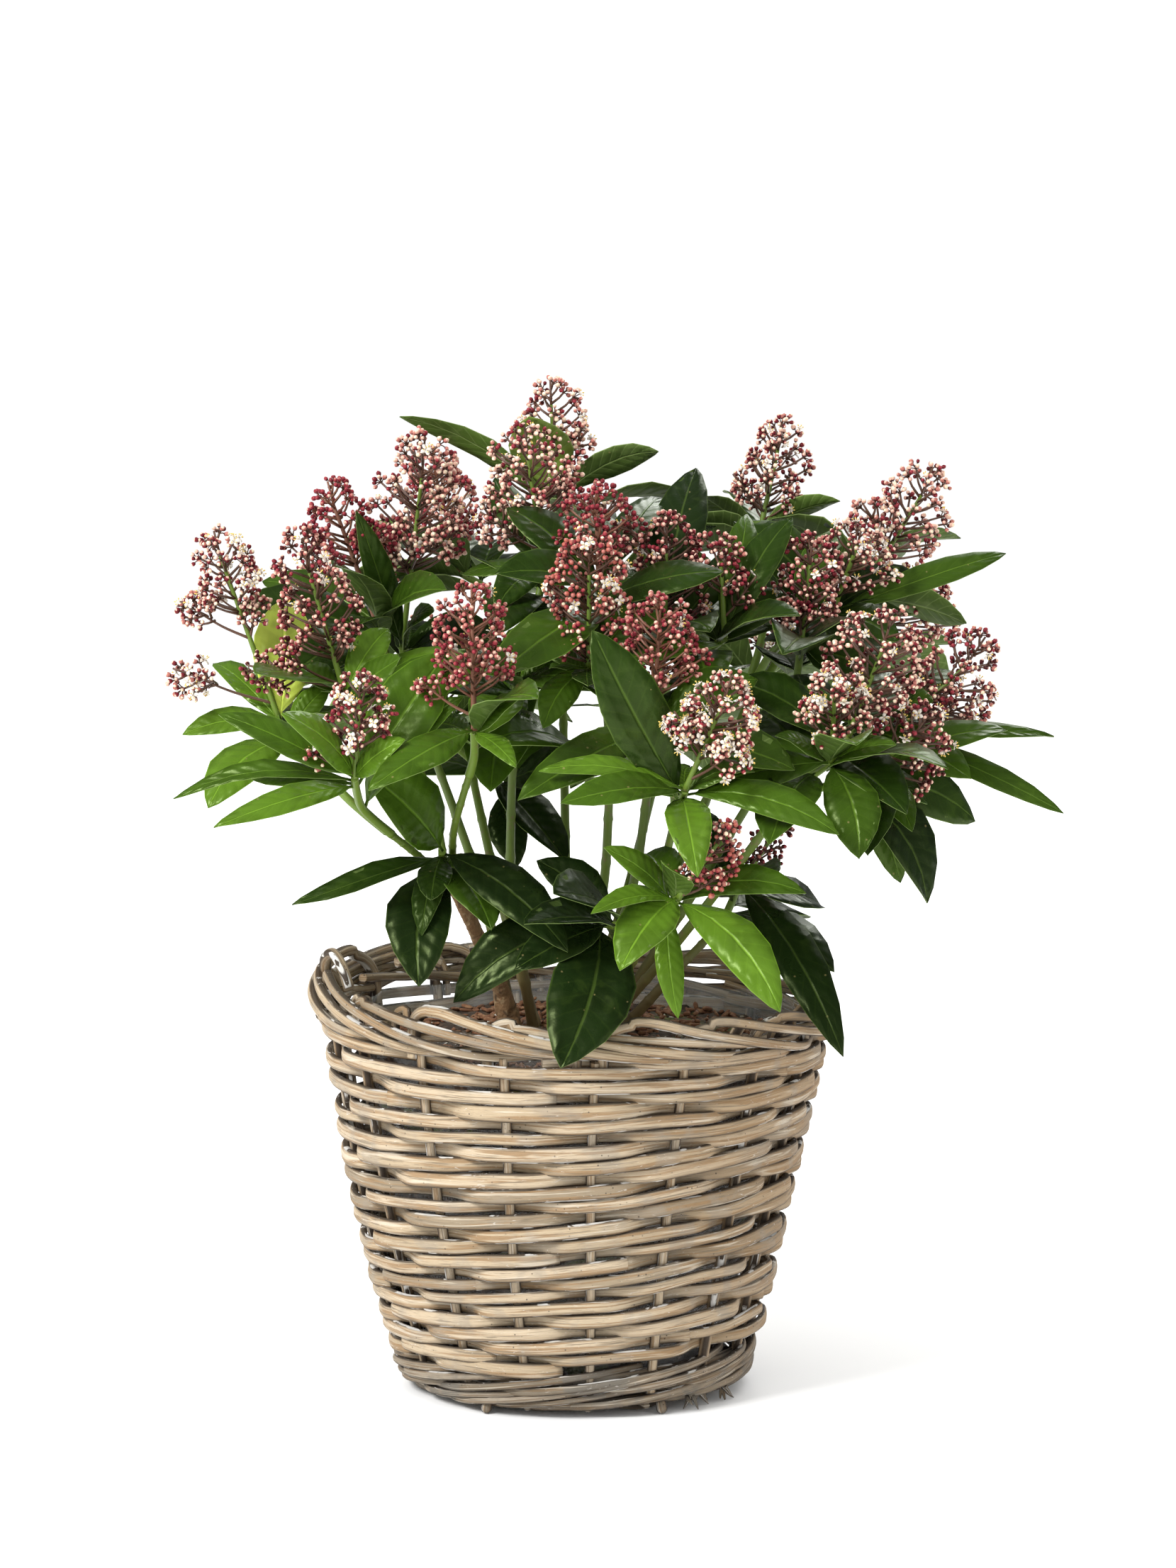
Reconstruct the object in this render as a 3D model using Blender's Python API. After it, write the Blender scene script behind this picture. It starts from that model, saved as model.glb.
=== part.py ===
"""A skimmia shrub in bud and flower, potted in a tapered willow basket.

The basket has a flat woven floor, a twisted foot band, a wall of willow rods woven
over two and under one stake, and a rolled border. A clear liner in it holds the soil.
The shrub has one leaning woody trunk that forks, more stems from the same crown, and
shoots that each carry a whorl of leathery leaves under a panicle of buds.

The origin is the centre of the basket's flat underside, +Z up, and -Y is the front.
Every size is in millimetres until a mesh is made, when it becomes metres.
"""
import math
import random

import bmesh
import bpy
import numpy as np
from mathutils import Vector
from mathutils.bvhtree import BVHTree

MM = 0.001
GAP = 0.35
UPRIGHT = Vector((0, 0, 1))

# Basket
STAKES = 17
STAKE_TURN = math.radians(-85.7)
SEGMENTS = 2 * STAKES
FLOOR_RADIUS = 92.0
FLOOR_THICK = 10.0
BAND_TOP = 27.0
WALL_TOP = 215.0
RIM_TOP = 244.0
WALL_THICK = 12.0
WALL_RADIUS_AT_BAND = 112.0
WALL_RADIUS_AT_RIM = 152.0
WEAVE_ROWS = 24
WEAVE_DEPTH = 8.0
BORDER_RADIUS = 146.5
BORDER_HALF_WIDTH = 10.5
RIM_DROP = 8.0
BAND_LIFT = 3.0
ROW_TILT = 7.0

# Liner and soil
LINER_PROFILE = ((10.35, 84.0), (20.0, 90.0), (229.0, 134.5))
LINER_THICK = 1.0
SOIL_TOP = 210.0

# Shrub
TRUNK_FOOT_RADIUS = 8.5
TRUNK_RADIUS = 5.2
TRUNK_TIP_RADIUS = 3.4
FORK_RADIUS = 5.0
BOUGH_FOOT_RADIUS = 3.3
BOUGH_TIP_RADIUS = 2.3
STEM_RADIUS = 2.7
PEDUNCLE_RADIUS = 1.7
SPRAY_STEM_RADIUS = 1.1
LEAF_THICK = 1.3
LEAF_STEM_WIDTH = 2.2
LEAF_ARCH = 0.10
LEAF_CLEARANCE = 0.6
ROOM = 0.8
LEAF_LENGTH = (76.0, 104.0)
LEAF_SLIMNESS = 0.41
LEAVES_PER_SHOOT = 9
STALK_SHARE = 0.2
FACE_LEAN = 1.0
BACK_HALF = 60.0
GOLDEN_ANGLE = math.radians(137.5)
LEAF_SPACING = 3.6
UPPER_LEAVES = 6
LOWER_LEAVES_DROP = 34.0
FOOT_CLEARANCE = 7.0
LOWEST_LEAF = 222.0

# The trunk leans from the middle of the pot towards the left and the front
# Each try for a shown leaf: its share of its length, and how far its tip swings back
SWINGS = [(share, swing) for share in (1.0, 0.9, 0.8, 0.68) for swing in (0, -14, 14, -28, 28, -42, 42)]

TRUNK_PATH = ((-38, 0, 210), (-45, -8, 240), (-61, -35, 283), (-70, -52, 304), (-75, -60, 316))

# Each bough: where its foot is, the points it passes and its tip
BOUGHS = {
    "bough_left_low": ("trunk", ((-92, -82, 330), (-108, -96, 345))),
    "bough_left": ("trunk", ((-82, -48, 350), (-96, -36, 388))),
    "bough_front_left": ("trunk", ((-70, -92, 345), (-60, -122, 382))),
    "bough_inner_left": ((-25, 11), ((-38, -6, 300), (-36, -26, 392))),
    "bough_upper_left": ((-36, 18), ((-58, 16, 300), (-86, 14, 380))),
    "bough_middle": ((-8, -4), ((16, -30, 300), (20, -64, 395))),
    "bough_middle_right": ((2, 12), ((34, -6, 300), (46, -22, 398))),
    "bough_front": ((-2, -22), ((36, -66, 270), (56, -126, 352))),
    "bough_front_low": ((-14, -26), ((12, -60, 240), (34, -112, 284))),
    "bough_right_low": ((12, -10), ((60, -40, 272), (118, -88, 356))),
    "bough_low_right": ((25, -4), ((54, -12, 244), (80, -2, 270))),
    "bough_right": ((16, 4), ((66, -8, 290), (118, -22, 378))),
    "bough_right_back": ((10, 22), ((54, 40, 290), (104, 66, 402))),
    "bough_back": ((-6, 28), ((-6, 58, 300), (-8, 84, 412))),
    "bough_back_left": ((-24, 32), ((-48, 74, 290), (-66, 102, 366))),
    "bough_back_right": ((4, 38), ((30, 84, 280), (52, 116, 362))),
}

# Each shoot: its bough, where its whorl is, where its flower head is, the head's width
# and height, and the leaves that show, as tip offsets from the whorl with a width
SHOOTS = {
    "shoot_far_left": (
        "bough_left_low", (-172, -50, 403), (-206, -50, 500), (34, 34),
        ((0, 35, 68, 34), (-56, -12, -6, 17), (-42, 50, 29, 15)),
    ),
    "shoot_left_low": (
        "bough_left_low", (-124, -165, 385), (-121, -170, 431), (34, 34),
        ((-76, -20, 37, 19), (-38, -30, 42, 21), (-103, 10, -13, 12), (-60, 20, -3, 14),
         (-77, -40, -23, 18), (51, -4, 67, 36), (61, 5, 44, 23)),
    ),
    "shoot_left_front": (
        "bough_left", (-133, -80, 423), (-153, -80, 493), (42, 54),
        ((25, 20, 36, 19), (34, -26, 24, 20)),
    ),
    "shoot_left_upper": (
        "bough_left", (-117, 0, 456), (-142, 0, 525), (37, 34),
        ((-70, 45, 20, 24),),
    ),
    "shoot_upper_left": (
        "bough_upper_left", (-103, 20, 440), (-91, 20, 540), (46, 56),
        ((-25, -14, 84, 17), (20, -48, 26, 18)),
    ),
    "shoot_front_left": (
        "bough_front_left", (-57, -150, 410), (-58, -150, 473), (42, 42),
        ((-58, -52, -27, 23), (24, -48, -14, 12)),
    ),
    "shoot_fork": (
        "trunk", (-77, -86, 332), None, None,
        ((-43, -72, 50, 40), (73, -54, -50, 29), (-85, -36, -26, 14), (-11, -32, -44, 16)),
    ),
    "shoot_inner_left": (
        "bough_inner_left", (-34, -42, 428), (-30, -50, 452), (12, 12),
        ((12, -22, 34, 20), (48, -32, -3, 18), (-12, -42, -28, 20)),
    ),
    "shoot_top_front": (
        "bough_inner_left", (-18, -18, 487), (-28, -20, 557), (46, 36),
        ((-30, 50, 52, 20), (-28, -54, -16, 22)),
    ),
    "shoot_top": (
        "bough_back", (-12, 118, 520), (-15, 120, 577), (37, 34),
        ((62, -22, 30, 20), (-16, -16, 52, 36), (-94, -34, 52, 16)),
    ),
    "shoot_middle_upper": (
        "bough_middle", (14, -58, 486), (12, -60, 530), (37, 32),
        ((45, 60, 52, 26),),
    ),
    "shoot_middle_front": (
        "bough_middle", (8, -96, 440), (8, -102, 494), (42, 54),
        ((-26, -40, -30, 19),),
    ),
    "shoot_middle_right": (
        "bough_middle_right", (52, -38, 452), (53, -42, 501), (42, 48),
        ((20, 78, 92, 30), (44, 44, 48, 19)),
    ),
    "shoot_right_of_middle": (
        "bough_middle_right", (87, -48, 452), (84, -50, 504), (32, 28),
        ((40, 12, 68, 21), (14, 52, 68, 19)),
    ),
    "shoot_front_middle": (
        "bough_front", (44, -118, 407), (48, -122, 466), (44, 38),
        ((-76, -70, -32, 27),),
    ),
    "shoot_front_right": (
        "bough_front", (62, -166, 378), (84, -172, 430), (38, 32),
        ((-82, -22, 14, 12), (-70, -48, -1, 20), (86, -24, -22, 21), (6, -32, -40, 25),
         (-52, -34, 92, 36)),
    ),
    "shoot_front_low_right": (
        "bough_front_low", (58, -176, 318), (80, -182, 350), (32, 28),
        ((-33, -50, -33, 29), (-49, -45, -2, 14), (56, -56, -55, 26), (-42, -22, 32, 16),
         (72, -8, 4, 19), (0, -14, -66, 14)),
    ),
    "shoot_front_low": (
        "bough_front_low", (14, -98, 292), None, None,
        ((-22, -84, -70, 46), (-84, -14, -44, 32), (-48, -42, -20, 25), (-36, -10, 38, 25)),
    ),
    "shoot_right_front": (
        "bough_right_low", (157, -96, 400), (177, -102, 454), (50, 42),
        ((-45, 26, -30, 22), (30, 66, 30, 24)),
    ),
    "shoot_right_low_front": (
        "bough_right_low", (146, -132, 390), (147, -142, 430), (34, 28),
        ((-76, 4, -18, 24), (14, -42, -50, 29)),
    ),
    "shoot_right_low": (
        "bough_right_low", (168, -82, 376), (194, -96, 400), (46, 44),
        ((24, -52, -26, 18), (20, -6, -62, 18), (84, 20, 22, 20)),
    ),
    "shoot_right_inner": (
        "bough_right", (132, -28, 447), (137, -30, 493), (36, 40),
        ((24, 26, 60, 22), (44, -26, -14, 26)),
    ),
    "shoot_far_right": (
        "bough_right", (187, -20, 393), (229, -22, 433), (42, 46),
        ((94, -18, -2, 12), (97, -42, -42, 14), (36, 44, 32, 21)),
    ),
    "shoot_low_right": (
        "bough_low_right", (97, 10, 298), (117, 14, 326), (25, 24),
        ((58, -80, -84, 26), (52, 62, -22, 26)),
    ),
    "shoot_right_upper": (
        "bough_right_back", (152, 8, 462), (166, 0, 502), (44, 28),
        ((104, 26, 32, 17),),
    ),
    "shoot_right_upper_back": (
        "bough_right_back", (176, 78, 472), (208, 80, 525), (38, 42),
        ((-34, -22, 34, 21), (60, 40, 22, 24)),
    ),
    "shoot_right_back": (
        "bough_right_back", (176, 100, 428), (208, 102, 468), (50, 26),
        ((56, 34, 2, 20), (24, 76, -22, 26)),
    ),
    "shoot_upper_right_back": (
        "bough_right_back", (112, 116, 500), (123, 120, 550), (35, 42),
        ((48, -18, 20, 17), (-36, -30, 24, 18), (-20, 80, 18, 26)),
    ),
    "shoot_inner_low": (
        "bough_upper_left", (-42, 36, 352), None, None,
        (),
    ),
    "shoot_back_left": (
        "bough_back_left", (-134, 118, 412), (-158, 128, 462), (40, 38),
        ((-72, 40, -16, 26), (-30, 86, 10, 28)),
    ),
    "shoot_back_low_left": (
        "bough_back_left", (-78, 162, 380), (-92, 180, 424), (38, 36),
        ((-62, 52, -34, 28), (24, 78, -28, 28)),
    ),
    "shoot_back_top_left": (
        "bough_back", (-70, 104, 476), (-84, 112, 530), (42, 42),
        ((-74, 44, 14, 24), (-10, 84, 18, 26)),
    ),
    "shoot_back_middle": (
        "bough_back", (16, 176, 448), (18, 188, 500), (42, 44),
        ((-34, 72, 24, 28), (50, 64, 8, 28)),
    ),
    "shoot_back_low_right": (
        "bough_back_right", (48, 190, 366), (54, 210, 410), (40, 38),
        ((-52, 58, -40, 28), (38, 72, -34, 28)),
    ),
    "shoot_back_right": (
        "bough_back_right", (118, 166, 402), (136, 178, 450), (42, 40),
        ((70, 44, -28, 26), (28, 78, 0, 28)),
    ),
}

# Loose sprays beside the main heads: the shoot, the spray's centre and its width
SPRAYS = (
    ("shoot_far_left", (-222, -54, 470), 18),
    ("shoot_far_left", (-186, -52, 470), 16),
    ("shoot_far_left", (-224, -58, 432), 22),
    ("shoot_left_front", (-178, -88, 438), 24),
    ("shoot_left_front", (-164, -100, 446), 16),
    ("shoot_left_upper", (-118, -6, 508), 20),
    ("shoot_left_upper", (-116, 14, 484), 20),
    ("shoot_upper_left", (-108, 12, 500), 24),
    ("shoot_upper_left", (-74, 14, 506), 20),
    ("shoot_top_front", (-46, -30, 518), 26),
    ("shoot_top_front", (-4, -16, 536), 18),
    ("shoot_top", (2, 112, 556), 18),
    ("shoot_left_low", (-146, -176, 400), 14),
    ("shoot_front_left", (-84, -154, 436), 15),
    ("shoot_middle_right", (32, -50, 516), 20),
    ("shoot_right_of_middle", (100, -52, 482), 18),
    ("shoot_upper_right_back", (100, 112, 530), 16),
    ("shoot_right_upper_back", (178, 70, 512), 24),
    ("shoot_right_inner", (130, -36, 468), 16),
    ("shoot_far_right", (224, -28, 408), 20),
    ("shoot_front_right", (60, -180, 418), 20),
    ("shoot_front_right", (88, -182, 402), 20),
    ("shoot_front_low_right", (78, -186, 330), 13),
)

WILLOW = ((0.56, 0.44, 0.31), 0.75)
WILLOW_GREY = ((0.40, 0.34, 0.27), 0.8)
CLEAR_FILM = ((0.80, 0.83, 0.84), 0.2)
SOIL = ((0.11, 0.075, 0.05), 0.95)
BARK = ((0.33, 0.25, 0.15), 0.85)
GREEN_STEM = ((0.30, 0.40, 0.13), 0.5)
FOLIAGE = ((0.10, 0.24, 0.07), 0.4)


def clear_scene():
    for item in list(bpy.data.objects):
        bpy.data.objects.remove(item, do_unlink=True)


def material(name, look):
    colour, roughness = look
    made = bpy.data.materials.new(name)
    made.use_nodes = True
    shader = made.node_tree.nodes["Principled BSDF"]
    shader.inputs["Base Color"].default_value = (*colour, 1.0)
    shader.inputs["Roughness"].default_value = roughness
    shader.inputs["Metallic"].default_value = 0.0
    return made


def mesh_of(name, points, faces):
    made = bpy.data.meshes.new(name)
    made.from_pydata([tuple(MM * c for c in p) for p in points], [], faces)
    made.update()
    return made


def add_object(name, points, faces, look):
    made = bpy.data.objects.new(name, mesh_of(name, points, faces))
    made.data.materials.append(material(name, look))
    bpy.context.scene.collection.objects.link(made)
    made.data.shade_smooth()
    made.data.set_sharp_from_angle(angle=math.radians(40))
    return made


def ring_angles(count):
    return [STAKE_TURN + math.tau * i / count for i in range(count)]


def settle(x, z):
    """Height a handmade basket gains or loses at this place: the rim sinks to the
    right, the foot band lifts there, and the rows between climb that way."""
    side = x / WALL_RADIUS_AT_RIM
    share = z / RIM_TOP
    lean = (1 - share) * BAND_LIFT * (1 + side) - share * RIM_DROP * side
    return lean + ROW_TILT * side * math.sin(math.pi * share)


def ring(radius, z, count=SEGMENTS, settled=False):
    points = []
    for i, angle in enumerate(ring_angles(count)):
        r = radius[i] if hasattr(radius, "__len__") else radius
        x = r * math.cos(angle)
        height = z[i] if hasattr(z, "__len__") else z
        if settled:
            height += settle(x, height)
        points.append((x, r * math.sin(angle), height))
    return points


def strip(rings, closed):
    """Quads between rings of points, and either a last strip back to the first
    ring or a flat cap at both ends."""
    count = len(rings[0])
    points = [p for one in rings for p in one]
    faces = []
    pairs = len(rings) if closed else len(rings) - 1
    for level in range(pairs):
        low = level * count
        high = (level + 1) % len(rings) * count
        for i in range(count):
            j = (i + 1) % count
            faces.append((low + i, low + j, high + j, high + i))
    if not closed:
        faces.append(tuple(reversed(range(count))))
        top = (len(rings) - 1) * count
        faces.append(tuple(top + i for i in range(count)))
    return points, faces


def wall_radius(z):
    """Outer radius of the wall: a straight taper with a slight belly."""
    share = (z - BAND_TOP) / (WALL_TOP - BAND_TOP)
    taper = WALL_RADIUS_AT_BAND + share * (WALL_RADIUS_AT_RIM - WALL_RADIUS_AT_BAND)
    return taper + 2.0 * math.sin(math.pi * share)


def is_behind(row, stake):
    """A rod passes behind every third stake, one stake further left in each row up."""
    return (stake + row) % 3 == 0


def make_floor():
    points, faces = strip([ring(FLOOR_RADIUS, z) for z in (0.0, FLOOR_THICK)], closed=False)
    return add_object("basket_floor", points, faces, WILLOW_GREY)


def make_foot_band():
    """Twisted rods round the foot, whose strands show as slanting ridges."""
    inner = FLOOR_RADIUS + 0.5
    top = BAND_TOP - GAP
    section = (
        (inner, 1.0, 0.0), (102.0, 1.0, 0.0), (110.0, 8.0, 1.8), (111.5, 18.0, 1.8),
        (108.0, top, 0.0), (101.0, top, 0.0), (inner, 9.0, 0.0),
    )
    rings = []
    for level, (radius, z, ridge) in enumerate(section):
        radii = [radius + ridge * math.cos(math.pi * (i + level)) for i in range(SEGMENTS)]
        rings.append(ring(radii, z, settled=True))
    points, faces = strip(rings, closed=True)
    return add_object("foot_band", points, faces, WILLOW_GREY)


def make_wall():
    """The woven wall: each row has one ring of points, on the rods in front of the
    stakes and sunk in where a rod passes behind one."""
    pitch = (WALL_TOP - BAND_TOP) / WEAVE_ROWS
    rings = [ring(wall_radius(BAND_TOP) - 3, BAND_TOP, settled=True)]
    for row in range(WEAVE_ROWS):
        z = BAND_TOP + pitch * (row + 0.5)
        radii = []
        for i in range(SEGMENTS):
            stake = i // 2
            if i % 2 == 0:
                sunk = WEAVE_DEPTH if is_behind(row, stake) else 0.0
            else:
                beside = is_behind(row, stake) or is_behind(row, (stake + 1) % STAKES)
                sunk = 4.0 if beside else 1.5
            radii.append(wall_radius(z) - sunk)
        rings.append(ring(radii, z, settled=True))
    rings.append(ring(wall_radius(WALL_TOP), WALL_TOP, settled=True))
    rings.append(ring(wall_radius(WALL_TOP) - WALL_THICK, WALL_TOP, settled=True))
    rings.append(ring(wall_radius(BAND_TOP) - WALL_THICK, BAND_TOP, settled=True))
    points, faces = strip(rings, closed=True)
    return add_object("basket_wall", points, faces, WILLOW)


def make_border():
    """The stakes' ends rolled over each other: an oval ring with a slanting ridge
    for each stake."""
    around = 8
    count = SEGMENTS
    half_height = (RIM_TOP - WALL_TOP - GAP) / 2
    middle = RIM_TOP - half_height
    rings = []
    for k in range(around):
        turn = -math.tau * k / around
        radii = []
        heights = []
        for i in range(count):
            ridge = 1 - 0.06 * (1 + math.cos(STAKES * math.tau * i / count + 2 * turn))
            out = math.copysign(abs(math.cos(turn)) ** 0.7, math.cos(turn))
            up = math.copysign(abs(math.sin(turn)) ** 0.7, math.sin(turn))
            radii.append(BORDER_RADIUS + BORDER_HALF_WIDTH * ridge * out)
            heights.append(middle + half_height * ridge * up)
        rings.append(ring(radii, heights, count=count, settled=True))
    points, faces = strip(list(reversed(rings)), closed=True)
    return add_object("basket_border", points, faces, WILLOW)


def make_liner():
    outer = [ring(r, z, count=STAKES) for z, r in LINER_PROFILE]
    inner = [ring(r - LINER_THICK, z, count=STAKES) for z, r in LINER_PROFILE]
    floor_z, floor_radius = LINER_PROFILE[0]
    inner[0] = ring(floor_radius - LINER_THICK, floor_z + LINER_THICK, count=STAKES)
    points, faces = strip(outer + list(reversed(inner)), closed=False)
    return add_object("liner", points, faces, CLEAR_FILM)


def liner_radius(z):
    heights = [p[0] for p in LINER_PROFILE]
    radii = [p[1] for p in LINER_PROFILE]
    return float(np.interp(z, heights, radii))


def make_soil():
    margin = LINER_THICK + 2 * GAP
    bottom = LINER_PROFILE[0][0] + LINER_THICK + GAP
    heights = (bottom, LINER_PROFILE[1][0], SOIL_TOP - 3)
    rings = [ring(liner_radius(z) - margin, z, count=STAKES) for z in heights]
    rings.append(ring(liner_radius(SOIL_TOP) - 9, SOIL_TOP, count=STAKES))
    points, faces = strip(rings, closed=False)
    return add_object("soil", points, faces, SOIL)


def curve_through(points, steps):
    """Even points along a Catmull-Rom curve through a list of points."""
    knots = [Vector(p) for p in points]
    knots = [2 * knots[0] - knots[1]] + knots + [2 * knots[-1] - knots[-2]]
    path = []
    for a, b, c, d in zip(knots, knots[1:], knots[2:], knots[3:]):
        for i in range(steps):
            t = i / steps
            path.append(
                0.5 * (2 * b + (c - a) * t + (2 * a - 5 * b + 4 * c - d) * t * t
                       + (3 * b - a - 3 * c + d) * t ** 3)
            )
    path.append(knots[-2])
    return path


def tube(path, radii, sides, foot=None):
    """A closed limb: a polygon carried along a path without twisting, with a
    radius at each point. foot is the direction its first ring is square to."""
    path = [Vector(p) for p in path]
    along = [(b - a).normalized() for a, b in zip(path, path[1:])]
    heading = [along[0]] + [(a + b).normalized() for a, b in zip(along, along[1:])] + [along[-1]]
    heading[0] = foot or heading[0]
    side = heading[0].orthogonal().normalized()
    rings = []
    for point, ahead, radius in zip(path, heading, radii):
        side = (side - ahead * side.dot(ahead)).normalized()
        other = ahead.cross(side)
        rings.append([
            point + radius * (math.cos(a) * side + math.sin(a) * other)
            for a in (math.tau * k / sides for k in range(sides))
        ])
    return strip(rings, closed=False)


def leaf(base, tip, width, lean, fine, grow=0.0):
    """A leaf solid from its stalk to its tip: flat on top and keeled below, with one
    cross-section, or two in a fine leaf, on a chord that arches up. lean turns its
    face to the front, or to the back if negative. grow gives the leaf's room instead:
    its cross-sections are then oblongs with that clearance all round."""
    base = Vector(base)
    tip = Vector(tip)
    along = (tip - base).normalized()
    up = Vector((0, -lean, 1 - 0.4 * abs(along.z)))
    up = (up - along * up.dot(along)).normalized()
    side = along.cross(up)
    length = (tip - base).length
    tip = tip + along * grow
    stations = [(0.0, LEAF_STEM_WIDTH / 2)]
    stations += [(0.36, width * 0.47), (0.72, width * 0.40)] if fine else [(0.52, width * 0.5)]
    sections = []
    for share, half in stations:
        centre = base.lerp(tip, share) + up * (4 * LEAF_ARCH * length * share * (1 - share))
        face = centre + up * (LEAF_THICK / 2 + grow)
        back = centre - up * (LEAF_THICK / 2 + grow)
        across = side * (half + grow)
        oblong = [face - across, face + across, back + across, back - across]
        sections.append(oblong if grow else [face - across, face + across, back])
    count = len(sections[0])
    points = [p for section in sections for p in section] + [tip]
    faces = [tuple(range(count))]
    last = count * (len(sections) - 1)
    for k in range(count):
        j = (k + 1) % count
        for low in range(0, last, count):
            high = low + count
            faces.append((low + k, high + k, high + j, low + j))
        faces.append((last + k, last + count, last + j))
    return points, faces


def cluster(centre, axis, width, height, sides, levels, luck):
    """A head of buds: a lobed egg along its axis, widest below the middle."""
    centre = Vector(centre)
    axis = Vector(axis).normalized()
    side = axis.orthogonal().normalized()
    other = axis.cross(side)
    points = [centre - axis * height / 2]
    for level in range(levels):
        rise = (level + 0.8) / (levels + 0.8)
        half = width / 2 * math.sin(math.pi * rise ** 0.8)
        for k in range(sides):
            turn = math.tau * (k + 0.5 * level) / sides
            reach = half * (0.92 + 0.16 * luck.random()) * (1.08 if k % 2 else 0.90)
            points.append(
                centre + axis * height * (rise - 0.5)
                + reach * (math.cos(turn) * side + math.sin(turn) * other)
            )
    points.append(centre + axis * height / 2)
    top = len(points) - 1
    faces = []
    for k in range(sides):
        j = (k + 1) % sides
        faces.append((0, 1 + j, 1 + k))
        for level in range(levels - 1):
            low = 1 + level * sides
            high = low + sides
            faces.append((low + k, low + j, high + k))
            faces.append((low + j, high + j, high + k))
        last = 1 + (levels - 1) * sides
        faces.append((last + k, last + j, top))
    return points, faces


class Clearance:
    """Every piece placed so far with its owner, to test a new one against."""

    def __init__(self):
        self.placed = []

    @staticmethod
    def tree(shape):
        points, faces = shape
        return BVHTree.FromPolygons([tuple(p) for p in points], faces)

    @staticmethod
    def box(shape):
        points = np.array([tuple(p) for p in shape[0]])
        return points.min(axis=0), points.max(axis=0)

    def touches(self, shape, owner):
        low, high = self.box(shape)
        tree = None
        for other, other_low, other_high, other_tree in self.placed:
            if other == owner or (low > other_high).any() or (high < other_low).any():
                continue
            tree = tree or self.tree(shape)
            if tree.overlap(other_tree):
                return True
        return False

    def add(self, shape, owner):
        low, high = self.box(shape)
        self.placed.append((owner, low, high, self.tree(shape)))


def limb_route(start, passes, grow_radius, clearance, owner, foot=None, steps=2):
    """The path of a limb through its points. Where it would touch another limb,
    its middle bows aside, a little more at each try."""
    end = Vector(passes[-1])
    start = Vector(start)
    across = (end - start).orthogonal().normalized()
    other = (end - start).normalized().cross(across)
    for attempt in range(60):
        reach = 1.6 * math.sqrt(attempt)
        turn = GOLDEN_ANGLE * attempt
        bow = reach * (math.cos(turn) * across + math.sin(turn) * other)
        middle = [Vector(p) + bow for p in passes[:-1]]
        path = curve_through([start] + middle + [end], steps)
        radii = [grow_radius - ROOM + GAP] + [grow_radius] * (len(path) - 1)
        shape = tube(path, radii, 6, foot)
        if not clearance.touches(shape, owner):
            return path
    raise ValueError("no free way for " + owner)


def feet_round(tip, ahead, headings, radius):
    """Where limbs start at the end of the one that carries them: one straight on,
    or several side by side round its end, each on the side it heads for."""
    tip = Vector(tip) + ahead * GAP
    if len(headings) == 1:
        return [tip]
    side = ahead.orthogonal().normalized()
    other = ahead.cross(side)
    turns = [math.atan2(h.dot(other), h.dot(side)) for h in headings]
    order = sorted(range(len(headings)), key=lambda i: turns[i])
    spread = (radius + 0.35) / math.sin(math.pi / len(headings))
    step = math.tau / len(headings)
    offset = sum(turns[i] - step * place for place, i in enumerate(order)) / len(headings)
    feet = [None] * len(headings)
    for place, i in enumerate(order):
        turn = offset + step * place
        feet[i] = tip + spread * (math.cos(turn) * side + math.sin(turn) * other)
    return feet


def taper(count, start, end):
    return [start + (end - start) * i / (count - 1) for i in range(count)]


def grow_trunk(clearance):
    path = curve_through(TRUNK_PATH, 2)
    path[0] = path[0] + Vector((0, 0, GAP))
    radii = taper(len(path), TRUNK_RADIUS, TRUNK_TIP_RADIUS)
    radii[0] = TRUNK_FOOT_RADIUS
    radii[1] = (TRUNK_FOOT_RADIUS + TRUNK_RADIUS) / 2
    radii[-1] = FORK_RADIUS
    shape = tube(path, radii, 8, UPRIGHT)
    clearance.add(shape, "trunk")
    return add_object("trunk", *shape, BARK), path


def grow_boughs(clearance, trunk_path):
    """The boughs from the trunk's fork and from the shrub's crown in the soil.
    Returns where each shoot's stem starts and the way its bough points there."""
    starts = {}
    forked = {name: passes[-1] for name, (foot, passes) in BOUGHS.items() if foot == "trunk"}
    forked.update({name: row[1] for name, row in SHOOTS.items() if row[0] == "trunk"})
    ahead = (trunk_path[-1] - trunk_path[-2]).normalized()
    headings = [Vector(end) - trunk_path[-1] for end in forked.values()]
    feet = dict(zip(forked, feet_round(trunk_path[-1], ahead, headings, STEM_RADIUS)))
    for name, (foot, passes) in BOUGHS.items():
        if foot == "trunk":
            start = feet[name]
            square_to = ahead
            radii = (BOUGH_TIP_RADIUS, BOUGH_TIP_RADIUS - 0.2)
        else:
            start = Vector((*foot, SOIL_TOP + GAP))
            square_to = UPRIGHT
            radii = (BOUGH_FOOT_RADIUS, BOUGH_TIP_RADIUS)
        path = limb_route(start, passes, radii[0] + ROOM, clearance, name, square_to)
        shape = tube(path, taper(len(path), *radii), 5, square_to)
        clearance.add(shape, name)
        add_object(name, *shape, GREEN_STEM)
        tip_ahead = (path[-1] - path[-2]).normalized()
        carried = [shoot for shoot, row in SHOOTS.items() if row[0] == name]
        headings = [Vector(SHOOTS[shoot][1]) - path[-1] for shoot in carried]
        places = feet_round(path[-1], tip_ahead, headings, STEM_RADIUS)
        starts.update({shoot: (place, tip_ahead) for shoot, place in zip(carried, places)})
    starts.update({name: (feet[name], ahead) for name in feet if name in SHOOTS})
    return starts


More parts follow.
